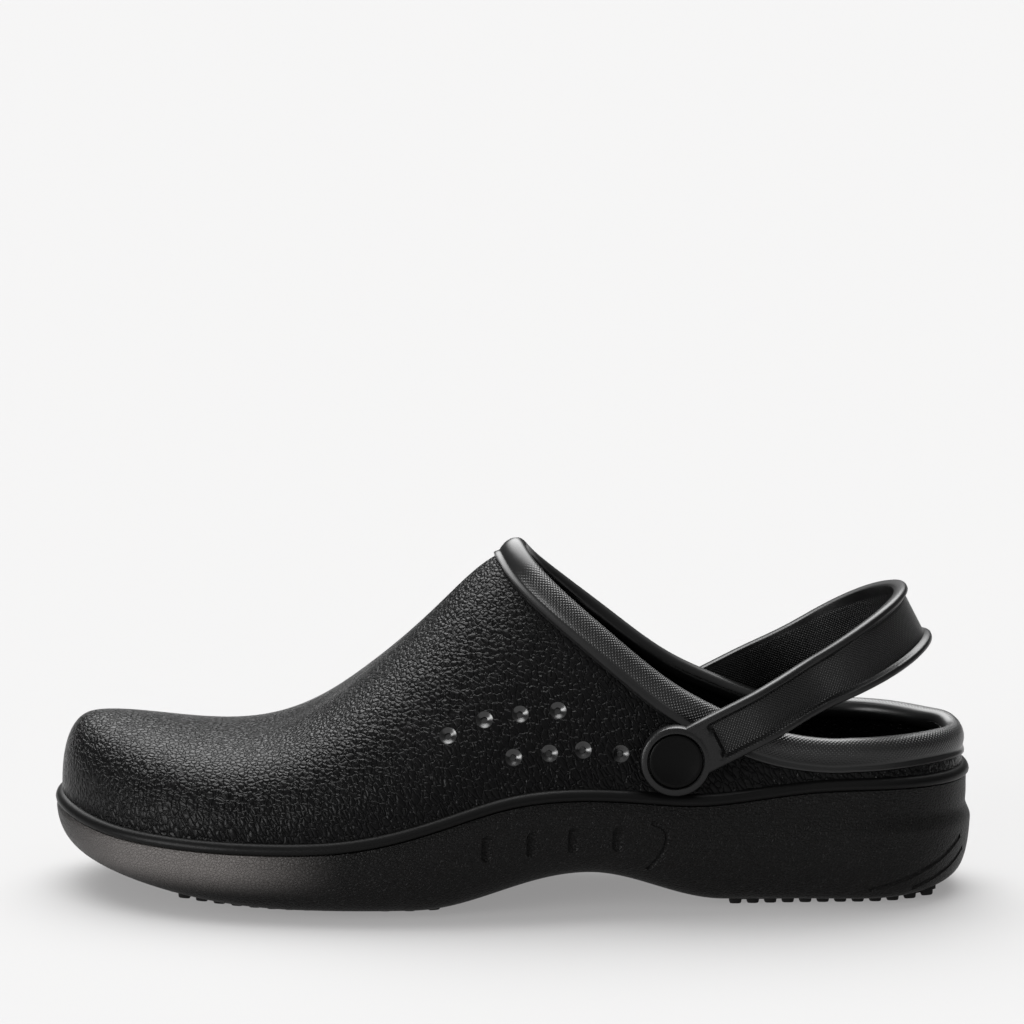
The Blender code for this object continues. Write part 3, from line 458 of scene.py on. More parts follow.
def foam(name, colour, worn, roughness, specular):
    """A black moulded finish with uneven colour and gloss; returns it, its tree, shader and places."""
    made = bpy.data.materials.new(name)
    made.use_nodes = True
    made.diffuse_color = (*colour, 1)
    tree = made.node_tree
    shader = tree.nodes["Principled BSDF"]
    coords = node(tree, "ShaderNodeTexCoord").outputs["Object"]
    cloud = noise(tree, coords, 45.0, 4.0)
    blend = node(
        tree,
        "ShaderNodeMix",
        {"Factor": cloud, "A": (*colour, 1), "B": (*worn, 1)},
        data_type="RGBA",
    )
    gloss = fade(tree, cloud, 0.0, 1.0, roughness - 0.05, roughness + 0.06, "LINEAR")
    tree.links.new(blend.outputs["Result"], shader.inputs["Base Color"])
    tree.links.new(gloss, shader.inputs["Roughness"])
    shader.inputs["Specular IOR Level"].default_value = specular
    return made, tree, shader, coords


def bumped(tree, shader, height, distance, strength=1.0):
    bump = node(
        tree, "ShaderNodeBump", {"Height": height, "Distance": distance, "Strength": strength}
    )
    tree.links.new(bump.outputs["Normal"], shader.inputs["Normal"])


def pebbles(tree, coords, cell, slant, stretch):
    """Height of a pebbled grain: domed plates, longer along a slanting line, parted by cracks."""
    laid = node(
        tree,
        "ShaderNodeMapping",
        {"Vector": coords, "Rotation": (0, math.radians(slant), 0), "Scale": (stretch, 1, 1)},
        vector_type="TEXTURE",
    )
    swirl = node(
        tree, "ShaderNodeTexNoise", {"Vector": laid.outputs["Vector"], "Scale": 0.8 / cell, "Detail": 1.5}
    )
    centred = node(
        tree,
        "ShaderNodeVectorMath",
        {0: swirl.outputs["Color"], 1: (0.5, 0.5, 0.5)},
        operation="SUBTRACT",
    )
    pushed = node(
        tree,
        "ShaderNodeVectorMath",
        {0: centred.outputs["Vector"], 1: (cell, cell, cell), 2: laid.outputs["Vector"]},
        operation="MULTIPLY_ADD",
    )
    cells = node(
        tree,
        "ShaderNodeTexVoronoi",
        {"Vector": pushed.outputs["Vector"], "Scale": 1 / cell, "Randomness": 1.0},
        feature="DISTANCE_TO_EDGE",
    )
    total = 0.0
    for low, high, share in ((0.0, 0.11, 0.68), (0.05, 0.45, 0.32)):
        rise = fade(tree, cells.outputs["Distance"], low, high)
        total = number(tree, "MULTIPLY_ADD", rise, share, total)
    return total


rings = [
    ring(SOLE_STEPS, lambda s: CUP_RIM + CUP_DRAFT, cup_floor),
    ring(SOLE_STEPS, lambda s: CUP_RIM, lambda s: seam_height(s) - 0.0003),
    ring(SOLE_STEPS, lambda s: CUP_RIM - 0.0003, seam_height),
    ring(SOLE_STEPS, lambda s: 0.0009, seam_height),
]
for k in range(SIDE_RINGS + 1):
    angle = math.radians(4) + math.radians(86) * k / SIDE_RINGS
    rings.append(ring(SOLE_STEPS, lambda s: side_inset(s, angle), lambda s: side_level(s, angle)))
sole = ring_solid("sole_cup", rings, SOLE_STEPS, 12)

pressed = []
for side in (LATERAL, MEDIAL):
    for share, level in SLOTS:
        place, out = side_point(side, share, level * SEAM_HEIGHT)
        up = (Vector((0, 0, 1)) - out * out.z).normalized()
        turn = up.to_track_quat("Z", "Y").to_matrix().to_4x4()
        ends = [math.radians(90 - 9 * i) for i in range(11)]
        top = [(SLOT_RADIUS * math.cos(a), SLOT_HALF + SLOT_RADIUS * math.sin(a)) for a in ends]
        capsule = top + [(r, -z) for r, z in reversed(top)]
        pressed.append(turned(capsule, 40, Matrix.Translation(place + out * SLOT_LIFT) @ turn))
    for run in GROOVES.values():
        shares = spline([(i, *row) for i, row in enumerate(run)], 1)
        levels = spline([(i, *row) for i, row in enumerate(run)], 2)
        path = []
        for i in range(8 * len(run) - 7):
            place, out = side_point(side, float(shares(i / 8)), float(levels(i / 8)) * SEAM_HEIGHT)
            path.append(place + out * GROOVE_LIFT)
        pressed.append(tube(path, GROOVE_RADIUS, 14))
cut(sole, several("pressed shapes", pressed))

look, tree, shader, coords = foam(
    "sole foam", (0.0018, 0.0017, 0.0016), (0.0030, 0.0028, 0.0027), 0.44, 0.15
)
# Painted reflection: the toe's side is mixed towards a pale grey that stands in for the floor's light
# reflected there, fading out towards the very tip and towards the sole's bottom.
lie = node(tree, "ShaderNodeSeparateXYZ", {"Vector": coords})
painted_reflection_mask = 1.0
for axis, none, full in PAINTED_TOE_REFLECTION:
    painted_reflection_mask = number(tree, "MULTIPLY", fade(tree, lie.outputs[axis], none, full), painted_reflection_mask)
tone = shader.inputs["Base Color"].links[0].from_socket
# The pale grey of the painted reflection, mixed over the foam's own tone.
painted_reflection_mix = node(
    tree,
    "ShaderNodeMix",
    {"Factor": painted_reflection_mask, "A": tone, "B": (0.112, 0.104, 0.100, 1)},
    data_type="RGBA",
)
tree.links.new(painted_reflection_mix.outputs["Result"], shader.inputs["Base Color"])
plates = pebbles(tree, coords, SOLE_GRAIN, -20, 1.4)
height = number(tree, "MULTIPLY_ADD", noise(tree, coords, 1500.0, 3.0), 0.5, plates)
bumped(tree, shader, height, 0.00024)
sole.data.materials.append(look)

# The treads are two slabs of grippy rubber let into the sole. Their underside is set with small
# tapered lugs that stand on the floor, moulded in one with the slab.
TREAD_THICKNESS = 0.0016
LUG_HEIGHT = 0.0016
TREADS = {
    "tread_forefoot": ((0.135, 0.425), 0.0160, [(0.150, 0.322), (0.366, 0.418)]),
    "tread_heel": ((0.735, 0.960), 0.0095, [(0.742, 0.950)]),
}
LUG_PITCH = 0.0054
LUG_SIZE = (0.0041, 0.0040)
LUG_SIDES = 16
LUG_INSET = 0.0030


def slab(tread, clearance, depth, steps=60):
    """Points and faces of a slab under the sole; a negative clearance makes its recess."""
    (first, last), inset = tread
    grow = -clearance / LENGTH
    shares = np.linspace(first - grow, last + grow, steps + 1)
    rows = []
    for side in (LATERAL, MEDIAL):
        y = edge(side, shares, inset + clearance)[:, 1]
        rows.append(np.column_stack([x_at(shares), y, sole_bottom(shares) + TREAD_THICKNESS - clearance]))
        rows.append(np.column_stack([x_at(shares), y, sole_bottom(shares) + depth]))
    points = [rows[k][i] for i in range(steps + 1) for k in (0, 1, 3, 2)]
    return points, loop_faces(steps + 1, 4) + end_faces(steps + 1, 4)


def stamped(name, places, turns, stamp, look):
    """A mesh with a copy of a small shape at each place, turned by Euler angles there."""
    mesh = bpy.data.meshes.new(name)
    mesh.from_pydata([tuple(p) for p in places], [], [])
    turn = mesh.attributes.new("turn", "FLOAT_VECTOR", "POINT")
    turn.data.foreach_set("vector", np.array(turns, float).ravel())
    made = put_in_scene(name, mesh)
    tree = bpy.data.node_groups.new(name, "GeometryNodeTree")
    tree.interface.new_socket("Places", in_out="INPUT", socket_type="NodeSocketGeometry")
    stamp_in = tree.interface.new_socket("Stamp", in_out="INPUT", socket_type="NodeSocketObject")
    look_in = tree.interface.new_socket("Look", in_out="INPUT", socket_type="NodeSocketMaterial")
    tree.interface.new_socket("Geometry", in_out="OUTPUT", socket_type="NodeSocketGeometry")
    given = node(tree, "NodeGroupInput").outputs
    shape = node(tree, "GeometryNodeObjectInfo", {"Object": given["Stamp"]})
    angles = node(tree, "GeometryNodeInputNamedAttribute", {"Name": "turn"}, data_type="FLOAT_VECTOR")
    placed = node(
        tree,
        "GeometryNodeInstanceOnPoints",
        {
            "Points": given["Places"],
            "Instance": shape.outputs["Geometry"],
            "Rotation": angles.outputs["Attribute"],
        },
    )
    real = node(tree, "GeometryNodeRealizeInstances", {"Geometry": placed.outputs["Instances"]})
    dressed = node(
        tree,
        "GeometryNodeSetMaterial",
        {"Geometry": real.outputs["Geometry"], "Material": given["Look"]},
    )
    node(tree, "NodeGroupOutput", {"Geometry": dressed.outputs["Geometry"]})
    step = made.modifiers.new("stamps", "NODES")
    step.node_group = tree
    step[stamp_in.identifier] = stamp
    step[look_in.identifier] = look
    bake(made)
    return made


rubber, tree, shader, coords = foam(
    "tread rubber", (0.0050, 0.0048, 0.0048), (0.0080, 0.0078, 0.0077), 0.60, 0.15
)
bumped(tree, shader, noise(tree, coords, 2400.0, 2.0), 0.00006, 0.6)

lug_rings = [(0.50, 0.0003), (0.50, -0.0004), (0.47, -0.0012), (0.42, -LUG_HEIGHT)]
corners = []
for i in range(LUG_SIDES):
    angle = 2 * math.pi * (i + 0.5) / LUG_SIDES
    bulge = (abs(math.cos(angle)) ** 4 + abs(math.sin(angle)) ** 4) ** -0.25
    corners.append((bulge * math.cos(angle) * LUG_SIZE[0], bulge * math.sin(angle) * LUG_SIZE[1]))
lug_points = [(x * share, y * share, z) for share, z in lug_rings for x, y in corners]
lug_faces = loop_faces(len(lug_rings), LUG_SIDES) + end_faces(len(lug_rings), LUG_SIDES)
lug = mesh_object("lug", lug_points, lug_faces)

for name, (span, inset, stretches) in TREADS.items():
    cut(sole, mesh_object(f"{name} recess", *slab((span, inset), -SEAT_GAP, -SOLE_CLEARANCE * 2)))
    tread = mesh_object(f"{name}_slab", *slab((span, inset), 0.0, LUG_HEIGHT - SOLE_CLEARANCE))
    dress(tread, rubber)
    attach(tread, "root")
    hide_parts(name)
    places, turns = [], []
    for first, last in stretches:
        columns = int((last - first) * LENGTH / LUG_PITCH)
        for i in range(columns + 1):
            share = first + (last - first) * i / columns
            low, high = (edge(side, share, inset + LUG_INSET)[1] for side in (LATERAL, MEDIAL))
            rows = int((high - low) / LUG_PITCH)
            rise = float(sole_bottom(share + 0.004) - sole_bottom(share - 0.004))
            tilt = math.atan2(rise, 0.008 * LENGTH)
            for k in range(rows + 1):
                level = sole_bottom(share) + LUG_HEIGHT - SOLE_CLEARANCE
                places.append((x_at(share), low + (high - low) * k / rows, level))
                turns.append((0.0, -tilt, 0.0))
    lugs = stamped(f"{name}_lugs", places, turns, lug, rubber)
    smooth(lugs)
    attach(lugs, "root")
bpy.data.objects.remove(lug)
smooth(sole, 40)
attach(sole, "root")
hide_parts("sole")

# The footbed is a loose slab of soft foam with a raised edge round the heel. Rows of low round nubs
# are moulded on its rear half, from the arch to the heel.
INSOLE_THICKNESS = 0.0042
INSOLE_GAP = 0.0006
INSOLE_EDGE_RISE = 0.0030
INSOLE_EDGE_STARTS = 0.40
INSOLE_EDGE_RUN_IN = 0.25
INSOLE_STEPS = 200
NUB_SIDES = 10
NUB_COLUMNS = 46
NUB_STARTS = 0.40
NUB_RUN = 0.53
NUB_PITCH = 0.0034
NUB_INSET = 0.022


def insole_ring(extra, up, lift):
    def height(share):
        dish = INSOLE_EDGE_RISE * smooth_step((share - INSOLE_EDGE_STARTS) / INSOLE_EDGE_RUN_IN)
        return cup_floor(share) + SEAT_GAP + up + lift * dish

    return ring(INSOLE_STEPS, lambda s: CUP_RIM + CUP_DRAFT + INSOLE_GAP + extra, height)


rings = [insole_ring(0.0060, 0.0, 0.0), insole_ring(0.0, 0.0, 0.0)]
for extra, up, lift in (
    (0.0000, 0.75, 0.75),
    (0.0003, 0.90, 0.92),
    (0.0009, 0.98, 1.00),
    (0.0015, 1.00, 1.00),
    (0.0026, 1.00, 0.90),
    (0.0042, 1.00, 0.66),
    (0.0060, 1.00, 0.45),
    (0.0080, 1.00, 0.26),
    (0.0105, 1.00, 0.10),
    (0.0140, 1.00, 0.00),
):
    rings.append(insole_ring(extra, up * INSOLE_THICKNESS, lift))
insole = ring_solid("footbed", rings, INSOLE_STEPS, 10)
look, tree, shader, coords = foam(
    "footbed foam", (0.0042, 0.0042, 0.0042), (0.0068, 0.0068, 0.0068), 0.72, 0.12
)
bumped(tree, shader, noise(tree, coords, 1800.0, 3.0), 0.00010, 0.8)
dress(insole, look)
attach(insole, "root")
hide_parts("insole")

nub_rings = [(0.00115, -0.0004), (0.00110, 0.0001), (0.00085, 0.0004), (0.00045, 0.00055)]
nub_points, nub_faces = turned(nub_rings, NUB_SIDES, Matrix.Identity(4))
nub = mesh_object("nub", nub_points, nub_faces + end_faces(len(nub_rings), NUB_SIDES))
places, turns = [], []
for i in range(NUB_COLUMNS):
    share = NUB_STARTS + NUB_RUN * i / (NUB_COLUMNS - 1)
    low, high = (edge(side, share, NUB_INSET)[1] for side in (LATERAL, MEDIAL))
    rows = max(int((high - low) / NUB_PITCH), 1)
    for k in range(rows + 1):
        y = low + (high - low) * (k + 0.5 * (i % 2)) / rows
        if y <= high:
            places.append((x_at(share), y, cup_floor(share) + SEAT_GAP + INSOLE_THICKNESS))
            turns.append((0.0, 0.0, 0.0))
nubs = stamped("footbed_nubs", places, turns, nub, look)
bpy.data.objects.remove(nub)
smooth(nubs)
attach(nubs, "root")

# The upper is one hollow shell of black foam on the last's form, about 3 mm thick, with a pebbled
# grain all over and two rows of round vents pressed into each side.
WALL = 0.0032
TOE_BOX_HEIGHT = 0.0550
INSTEP_HEIGHT = 0.1105
COLLAR_HEEL_HEIGHT = 0.0540
OPENING_WIDTH = 0.5896 * BALL_WIDTH
THROAT_ALONG = 0.514
TOE_FAN = 0.060
HEEL_FAN = 0.100
BEAD_HEIGHT = 0.0036
WALL_INSET = 0.0021
THROAT = (THROAT_ALONG - TOE_FAN) / (1 - TOE_FAN - HEEL_FAN)
#         along, rise, offset
CREST = [
    (0.000, -0.010, 0.085),
    (0.062, 0.000, 0.070),
    (0.120, -0.027, 0.045),
    (0.190, -0.065, 0.025),
    (0.250, -0.028, 0.012),
    (0.300, 0.098, 0.008),
    (0.343, 0.272, 0.006),
    (0.387, 0.475, 0.004),
    (0.431, 0.700, 0.002),
    (0.472, 0.900, 0.000),
    (0.514, 1.000, 0.000),
    (0.600, 1.000, -0.006),
    (0.800, 1.000, -0.006),
    (1.000, 1.000, 0.000),
]
#        along, across, up
ARCH = [
    (0.00, 0.70, 0.72),
    (0.12, 0.74, 0.78),
    (0.26, 0.85, 0.88),
    (0.38, 1.05, 1.05),
    (0.48, 1.27, 1.27),
    (0.55, 1.34, 1.34),
    (0.62, 1.12, 1.12),
    (0.70, 0.92, 0.95),
    (0.80, 0.90, 0.95),
    (1.00, 0.95, 1.00),
]
#          back, drop, half opening
COLLAR = [
    (0.000, 0.000, 0.000),
    (0.140, 0.070, 0.150),
    (0.275, 0.205, 0.262),
    (0.406, 0.396, 0.345),
    (0.457, 0.488, 0.372),
    (0.523, 0.620, 0.408),
    (0.583, 0.732, 0.457),
    (0.654, 0.842, 0.512),
    (0.767, 0.985, 0.572),
    (0.884, 1.010, 0.570),
    (1.000, 1.030, 0.366),
]
#        along, height as a share of the instep's
VENTS = [
    (0.4340, 0.5215),
    (0.4725, 0.5630),
    (0.5105, 0.5760),
    (0.5505, 0.5830),
    (0.5034, 0.4610),
    (0.5414, 0.4690),
    (0.5772, 0.4750),
    (0.6172, 0.4610),
]
#            radius, out of the last
VENT_BOWL = [
    (0, 0.0010),
    (0.0034, 0.0010),
    (0.0029, 0.0002),
    (0.0026, -0.0004),
    (0.0024, -0.0011),
    (0.0012, -0.0022),
    (0, -0.0024),
]
VENT_ROUND = 28
UPPER_GRAIN = 0.0015
PIVOT = Vector((x_at(0.675), 0, 0.0492))
POST_RADIUS = 0.0030
POST_BORE = POST_RADIUS + 0.0003
crest_rise, crest_offset = spline(CREST, 1), spline(CREST, 2)
arch_across, arch_up = spline(ARCH, 1), spline(ARCH, 2)
collar_drop, collar_open = spline(COLLAR, 1), spline(COLLAR, 2)


def raw_column(side, share):
    """Foot, top, base, crest, squareness and end angle of the upper's column at a share on one side."""
    foot = edge(side, share, WALL_INSET)
    spine = TOE_FAN + (1 - TOE_FAN - HEEL_FAN) * share
    top = np.array([x_at(spine), BALL_WIDTH * crest_offset(spine)])
    base = seam_height(share) + SEAT_GAP + BEAD_HEIGHT / 3
    across, up = arch_across(share), arch_up(share)
    crest = TOE_BOX_HEIGHT + (INSTEP_HEIGHT - TOE_BOX_HEIGHT) * crest_rise(spine)
    end = math.pi / 2
    if spine > THROAT_ALONG:
        back = math.sqrt(max(0.0, (share - THROAT) / (1 - THROAT)))
        reach = min(OPENING_WIDTH * collar_open(back) / np.linalg.norm(foot - top), 0.97)
        end = math.acos(reach ** (1 / across))
        place = (top[0] + (foot[0] - top[0]) * reach - x_at(0.0)) / LENGTH
        drop = collar_drop(math.sqrt(max(0.0, (place - THROAT_ALONG) / (1 - THROAT_ALONG))))
        edge_height = INSTEP_HEIGHT + (COLLAR_HEEL_HEIGHT - INSTEP_HEIGHT) * drop
        crest = base + (edge_height - base) / math.sin(end) ** up
    return foot, top, base, crest, across, up, end


def evened_crests(side):
    """The columns' crests on one side, evened out so that no crease runs down from the throat."""
    crests = np.array([raw_column(side, share)[3] for share in EVEN_SHARES])
    bell = np.exp(-(np.linspace(-3, 3, 97) ** 2) / 2)
    padded = np.pad(crests, 48, mode="reflect", reflect_type="odd")
    return np.convolve(padded, bell / bell.sum(), "valid")


EVEN_SHARES = np.linspace(0, 1, 1601)
EVEN_CRESTS = {side: evened_crests(side) for side in (LATERAL, MEDIAL)}


def column(side, share):
    foot, top, base, _, across, up, end = raw_column(side, share)
    return foot, top, base, np.interp(share, EVEN_SHARES, EVEN_CRESTS[side]), across, up, end


def wall_point(shape, angle):
    """The upper's outer face on one column, from 0 at its foot to 90 degrees on top."""
    foot, top, base, crest, across, up, _ = shape
    x, y = top + (foot - top) * max(math.cos(angle), 0.0) ** across
    return x, y, base + (crest - base) * math.sin(angle) ** up


def upper_surface(toe_steps, collar_steps, rows, trimmed):
    """Points and faces of the upper's outer face, cut at the collar or closed over the ankle."""
    shares = [THROAT * (1 - math.cos(math.pi / 2 * i / toe_steps)) for i in range(toe_steps)]
    for i in range(collar_steps + 1):
        shares.append(THROAT + (1 - THROAT) * math.sin(math.pi / 2 * i / collar_steps) ** 2)
    shapes = [column(LATERAL, s) for s in shares] + [column(MEDIAL, s) for s in shares[-2:0:-1]]
    points = []
    for k in range(rows + 1):
        for shape in shapes:
            end = shape[-1] if trimmed else math.pi / 2
            points.append(wall_point(shape, end * k / rows))
    return points, loop_faces(rows + 1, len(shapes))


last_points, last_faces = upper_surface(110, 150, 64, trimmed=False)
LAST = BVHTree.FromPolygons([Vector(p) for p in last_points], last_faces)


def on_last(point):
    """(nearest point on the last, normal there that points out of the shoe)."""
    place, normal, _, _ = LAST.find_nearest(Vector(point))
    middle = Vector((place.x * 0.9, 0, COLLAR_HEEL_HEIGHT / 2))
    return place, normal if normal.dot(place - middle) > 0 else -normal


def on_side(side, x, z):
    """Where a line across the shoe first meets the last from one side, and the normal there."""
    hit, normal, _, _ = LAST.ray_cast(Vector((x, side * BALL_WIDTH, z)), Vector((0, -side, 0)))
    return hit, normal


def across_at_pivot(side):
    """Matrix that puts a turned piece on the strap's pivot, its Z pointing out of one side."""
    turn = Matrix.Rotation(math.radians(90 if side == LATERAL else -90), 4, "X")
    return Matrix.Translation(PIVOT) @ turn


points, faces = upper_surface(120, 130, 54, trimmed=True)
upper = mesh_object("upper_shell", points, faces)
outward = sum(f.normal.dot(f.center - Vector((f.center.x * 0.8, 0, 0.027))) for f in upper.data.polygons)
if outward < 0:
    upper.data.flip_normals()
shell = upper.modifiers.new("wall", "SOLIDIFY")
shell.thickness = WALL
shell.offset = -1
shell.use_even_offset = True
bake(upper)
holes, vent_turns = [], []
for side in (LATERAL, MEDIAL):
    for along, height in VENTS:
        hit, normal = on_side(side, x_at(along), height * INSTEP_HEIGHT)
        out = normal if normal.y * side > 0 else -normal
        turn = Matrix.Translation(hit) @ out.to_track_quat("Z", "Y").to_matrix().to_4x4()
        vent_turns.append(turn)
        holes.append(turned(VENT_BOWL, VENT_ROUND, turn))
    pin = [(0, BALL_WIDTH), (POST_BORE, BALL_WIDTH), (POST_BORE, 0.015), (0, 0.015)]
    holes.append(turned(pin, 32, across_at_pivot(side)))
cut(upper, several("holes", holes))

look, tree, shader, coords = foam(
    "upper foam", (0.0019, 0.0019, 0.0020), (0.0031, 0.0031, 0.0032), 0.27, 0.085
)
plates = pebbles(tree, coords, UPPER_GRAIN, 60, 2.2)
height = number(tree, "MULTIPLY_ADD", noise(tree, coords, 1400.0, 2.0), 0.22, plates)
bumped(tree, shader, height, 0.00040)
dress(upper, look, 50)
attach(upper, "root")
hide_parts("upper")

# The vents are taken as blind round cups, pressed into the foam by the pins of the upper's mould.
# The foam inside them is smooth, and shinier than the grain around it.
#            radius, out of the last
VENT_LINING = [
    (0, -0.0023),
    (0.0009, -0.0021),
    (0.0011, -0.0012),
    (0.0018, -0.0008),
    (0.0025, -0.0003),
    (0.0028, -0.0002),
    (0.0030, -0.0008),
    (0, -0.0027),
]
cups = several("vent_cups", [turned(VENT_LINING, VENT_ROUND, turn) for turn in vent_turns])
look, tree, shader, coords = foam(
    "vent foam", (0.0022, 0.0022, 0.0023), (0.0036, 0.0036, 0.0037), 0.24, 0.65
)
bumped(tree, shader, noise(tree, coords, 1500.0, 2.0), 0.00006, 0.5)
dress(cups, look, 25)
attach(cups, "root")

# A rolled rim is moulded round the foot's opening. Its face carries fine rows of raised dots, and a
# plain lip runs along its foot.
ROLL_WIDTH = 0.0128
ROLL_PROUD = 0.0030
ROLL_EMBED = WALL * 0.55
ROLL_STEPS = 200
ROLL_DOTS_DOWN = 0.0086
ROLL_DOTS_OUT = 0.0010
ROLL_DOTS_FROM_THROAT = 0.010
ROLL_DOT_PITCH = 0.00085
#               down, out
ROLL_OUTSIDE = [
    (0.820, 0.07),
    (0.812, 0.30),
    (0.798, 0.40),
    (0.776, 0.42),
    (0.738, 0.41),
    (0.688, 0.37),
    (0.649, 0.36),
    (0.622, 0.39),
    (0.590, 0.50),
    (0.530, 0.66),
    (0.470, 0.81),
    (0.390, 0.95),
    (0.300, 1.03),
    (0.210, 1.03),
    (0.120, 0.94),
    (0.050, 0.75),
    (0.000, 0.53),
    (-0.040, 0.24),
    (-0.062, 0.00),
]
ROLL_INNER = [
    (-0.072, -0.22),
    (-0.062, -0.52),
    (-0.030, -0.86),
    (0.020, -1.12),
    (0.080, -1.25),
    (0.160, -1.29),
    (0.240, -1.26),
    (0.310, -1.06),
    (0.370, -0.55),
    (0.960, -0.55),
]


def collar_loop(steps):
    """Points of the collar's edge: from the throat along the outer side, round the heel and back."""
    sides = []
    for side in (LATERAL, MEDIAL):
        found = []
        for i in range(steps + 1):
            shape = column(side, THROAT + (1 - THROAT) * math.sin(math.pi / 2 * i / steps) ** 2)
            found.append(Vector(wall_point(shape, shape[-1])))
        sides.append(found)
    return sides[0] + sides[1][-2:0:-1]


def evened(directions, rounds):
    """Directions round a closed loop, each evened out with its neighbours."""
    rows = np.array(directions)
    for _ in range(rounds):
        rows = np.roll(rows, 1, axis=0) + 2 * rows + np.roll(rows, -1, axis=0)
        rows /= np.linalg.norm(rows, axis=1)[:, None]
    return [Vector(row) for row in rows]


loop = collar_loop(ROLL_STEPS)
coarse = evened([on_last(place)[1] for place in loop[::10]], 6)
normals = []
for i in range(len(loop)):
    here, after = coarse[i // 10], coarse[(i // 10 + 1) % len(coarse)]
    normals.append(here.lerp(after, i % 10 / 10).normalized())
normals = evened(normals, 24)
section = [(d * ROLL_WIDTH, o * ROLL_PROUD) for d, o in ROLL_OUTSIDE]
section += [(d * ROLL_WIDTH, o * WALL) for d, o in ROLL_INNER]
points, grain = [], []
for i, place in enumerate(loop):
    along = (loop[(i + 1) % len(loop)] - loop[i - 1]).normalized()
    down = along.cross(normals[i]).normalized()
    if down.z > 0:
        down = -down
    from_throat = (place - loop[0]).length
    slack = min(1.0, 0.10 + from_throat / 0.040)
    for reach, out in section:
        start, lift = place + down * reach, normals[i]
        if reach > 0:
            start, local = on_last(start)
            lift = lift.lerp(local, min(1.0, reach / ROLL_WIDTH)).normalized()
        if out < -ROLL_EMBED:
            out = -ROLL_EMBED + (out + ROLL_EMBED) * slack
        points.append(start + lift * out)
        faced = smooth_step((ROLL_DOTS_DOWN - reach) / 0.0016)
        faced *= smooth_step((out - ROLL_DOTS_OUT) / 0.0008)
        grain.append(float(faced * smooth_step((from_throat - ROLL_DOTS_FROM_THROAT) / 0.008)))
count = len(section)
travel = [0.0]
for i in range(len(loop)):
    travel.append(travel[-1] + (loop[(i + 1) % len(loop)] - loop[i]).length)
girth = [0.0]
for (d0, o0), (d1, o1) in zip(section, section[1:] + section[:1]):
    girth.append(girth[-1] + math.hypot(d1 - d0, o1 - o0))
uvs = []
for i in range(len(loop)):
    for k in range(count):
        uvs += [(travel[i], girth[k]), (travel[i], girth[k + 1])]
        uvs += [(travel[i + 1], girth[k + 1]), (travel[i + 1], girth[k])]
faces = loop_faces(len(loop), count, closed_across=True)
roll = mesh_object("collar_roll", points, faces, uvs, grain)


def dotted(tree, vector, pitch):
    """Height of round dots on a square grid turned by 45 degrees."""
    laid = node(
        tree, "ShaderNodeMapping", {"Vector": vector, "Rotation": (0, 0, math.radians(45))}
    )
    cells = node(
        tree,
        "ShaderNodeTexVoronoi",
        {"Vector": laid.outputs["Vector"], "Scale": 1 / pitch, "Randomness": 0.0},
        voronoi_dimensions="2D",
    )
    return fade(tree, cells.outputs["Distance"], 0.50, 0.12)


look, tree, shader, _ = foam("roll foam", (0.0022, 0.0022, 0.0023), (0.0036, 0.0036, 0.0037), 0.31, 0.40)
uv = node(tree, "ShaderNodeUVMap", uv_map="UVMap").outputs["UV"]
where = node(tree, "ShaderNodeAttribute", attribute_name="grain").outputs["Fac"]
bumped(tree, shader, number(tree, "MULTIPLY", dotted(tree, uv, ROLL_DOT_PITCH), where), 0.00012)
dress(roll, look, 40)
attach(roll, "root")

# A bead runs round the upper's foot, where the shell meets the sole. It is smooth and rounded, and
# a dark parting line shows beneath it.
BEAD_WIDTH = 0.0058
BEAD_STEPS = 230
#        inset, up
BEAD = [
    (BEAD_WIDTH, 0.00),
    (0.0010, 0.00),
    (0.0005, 0.05),
    (0.0001, 0.18),
    (0.0000, 0.35),
    (0.0001, 0.52),
    (0.0004, 0.70),
    (0.0009, 0.86),
    (0.0015, 0.97),
    (0.0021, 1.02),
    (WALL_INSET + WALL / 2, 1.05),
    (BEAD_WIDTH, 0.60),
]
rings = []
for inset, up in BEAD:
    rings.append(
        ring(BEAD_STEPS, lambda s: inset, lambda s: seam_height(s) + SEAT_GAP + up * BEAD_HEIGHT)
    )
bead = mesh_object(
    "foot_bead",
    [p for one in rings for p in one],
    loop_faces(len(rings), 2 * BEAD_STEPS, closed_across=True),
)
look, tree, shader, coords = foam(
    "bead foam", (0.0018, 0.0018, 0.0018), (0.0028, 0.0028, 0.0028), 0.38, 0.11
)
bumped(tree, shader, noise(tree, coords, 1300.0, 2.0), 0.00008, 0.6)
dress(bead, look, 40)
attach(bead, "root")

# The heel strap is a foam band with an eye at each end and a raised rim along both edges. The web
# between the rims is sunk and set with fine dots. It turns on a rivet at each side of the upper.
STRAP_THICKNESS = 0.0044
STRAP_WEB = 0.0026
STRAP_RIM = 0.0030
STRAP_LENGTH = 0.0862
STRAP_WIDTH = 0.0162
STRAP_WIDER_AT_HEEL = 0.0038
STRAP_EDGE = 0.0012
STRAP_DOT_PITCH = 0.00075
STRAP_DOTS_ACROSS = (0.0066, 0.0056)
STRAP_DOTS_ALONG = (0.0135, 0.0155)
STRAP_TILT = math.radians(27.3)
STRAP_HEEL_RADIUS = 0.0330
EYE_RADIUS = 0.0110
CAP_RADIUS = 0.0084
CAP_THICKNESS = 0.0022


def eye_seat(side):
    """How far out the strap's eye sits: its whole disc clears the upper's wall."""
    reach = []
    for i in range(16):
        angle = 2 * math.pi * i / 16
        rim = PIVOT + EYE_RADIUS * Vector((math.cos(angle), 0, math.sin(angle)))
        hit, _ = on_side(side, rim.x, rim.z)
        reach.append(abs(hit.y))
    return max(reach) + 0.0003


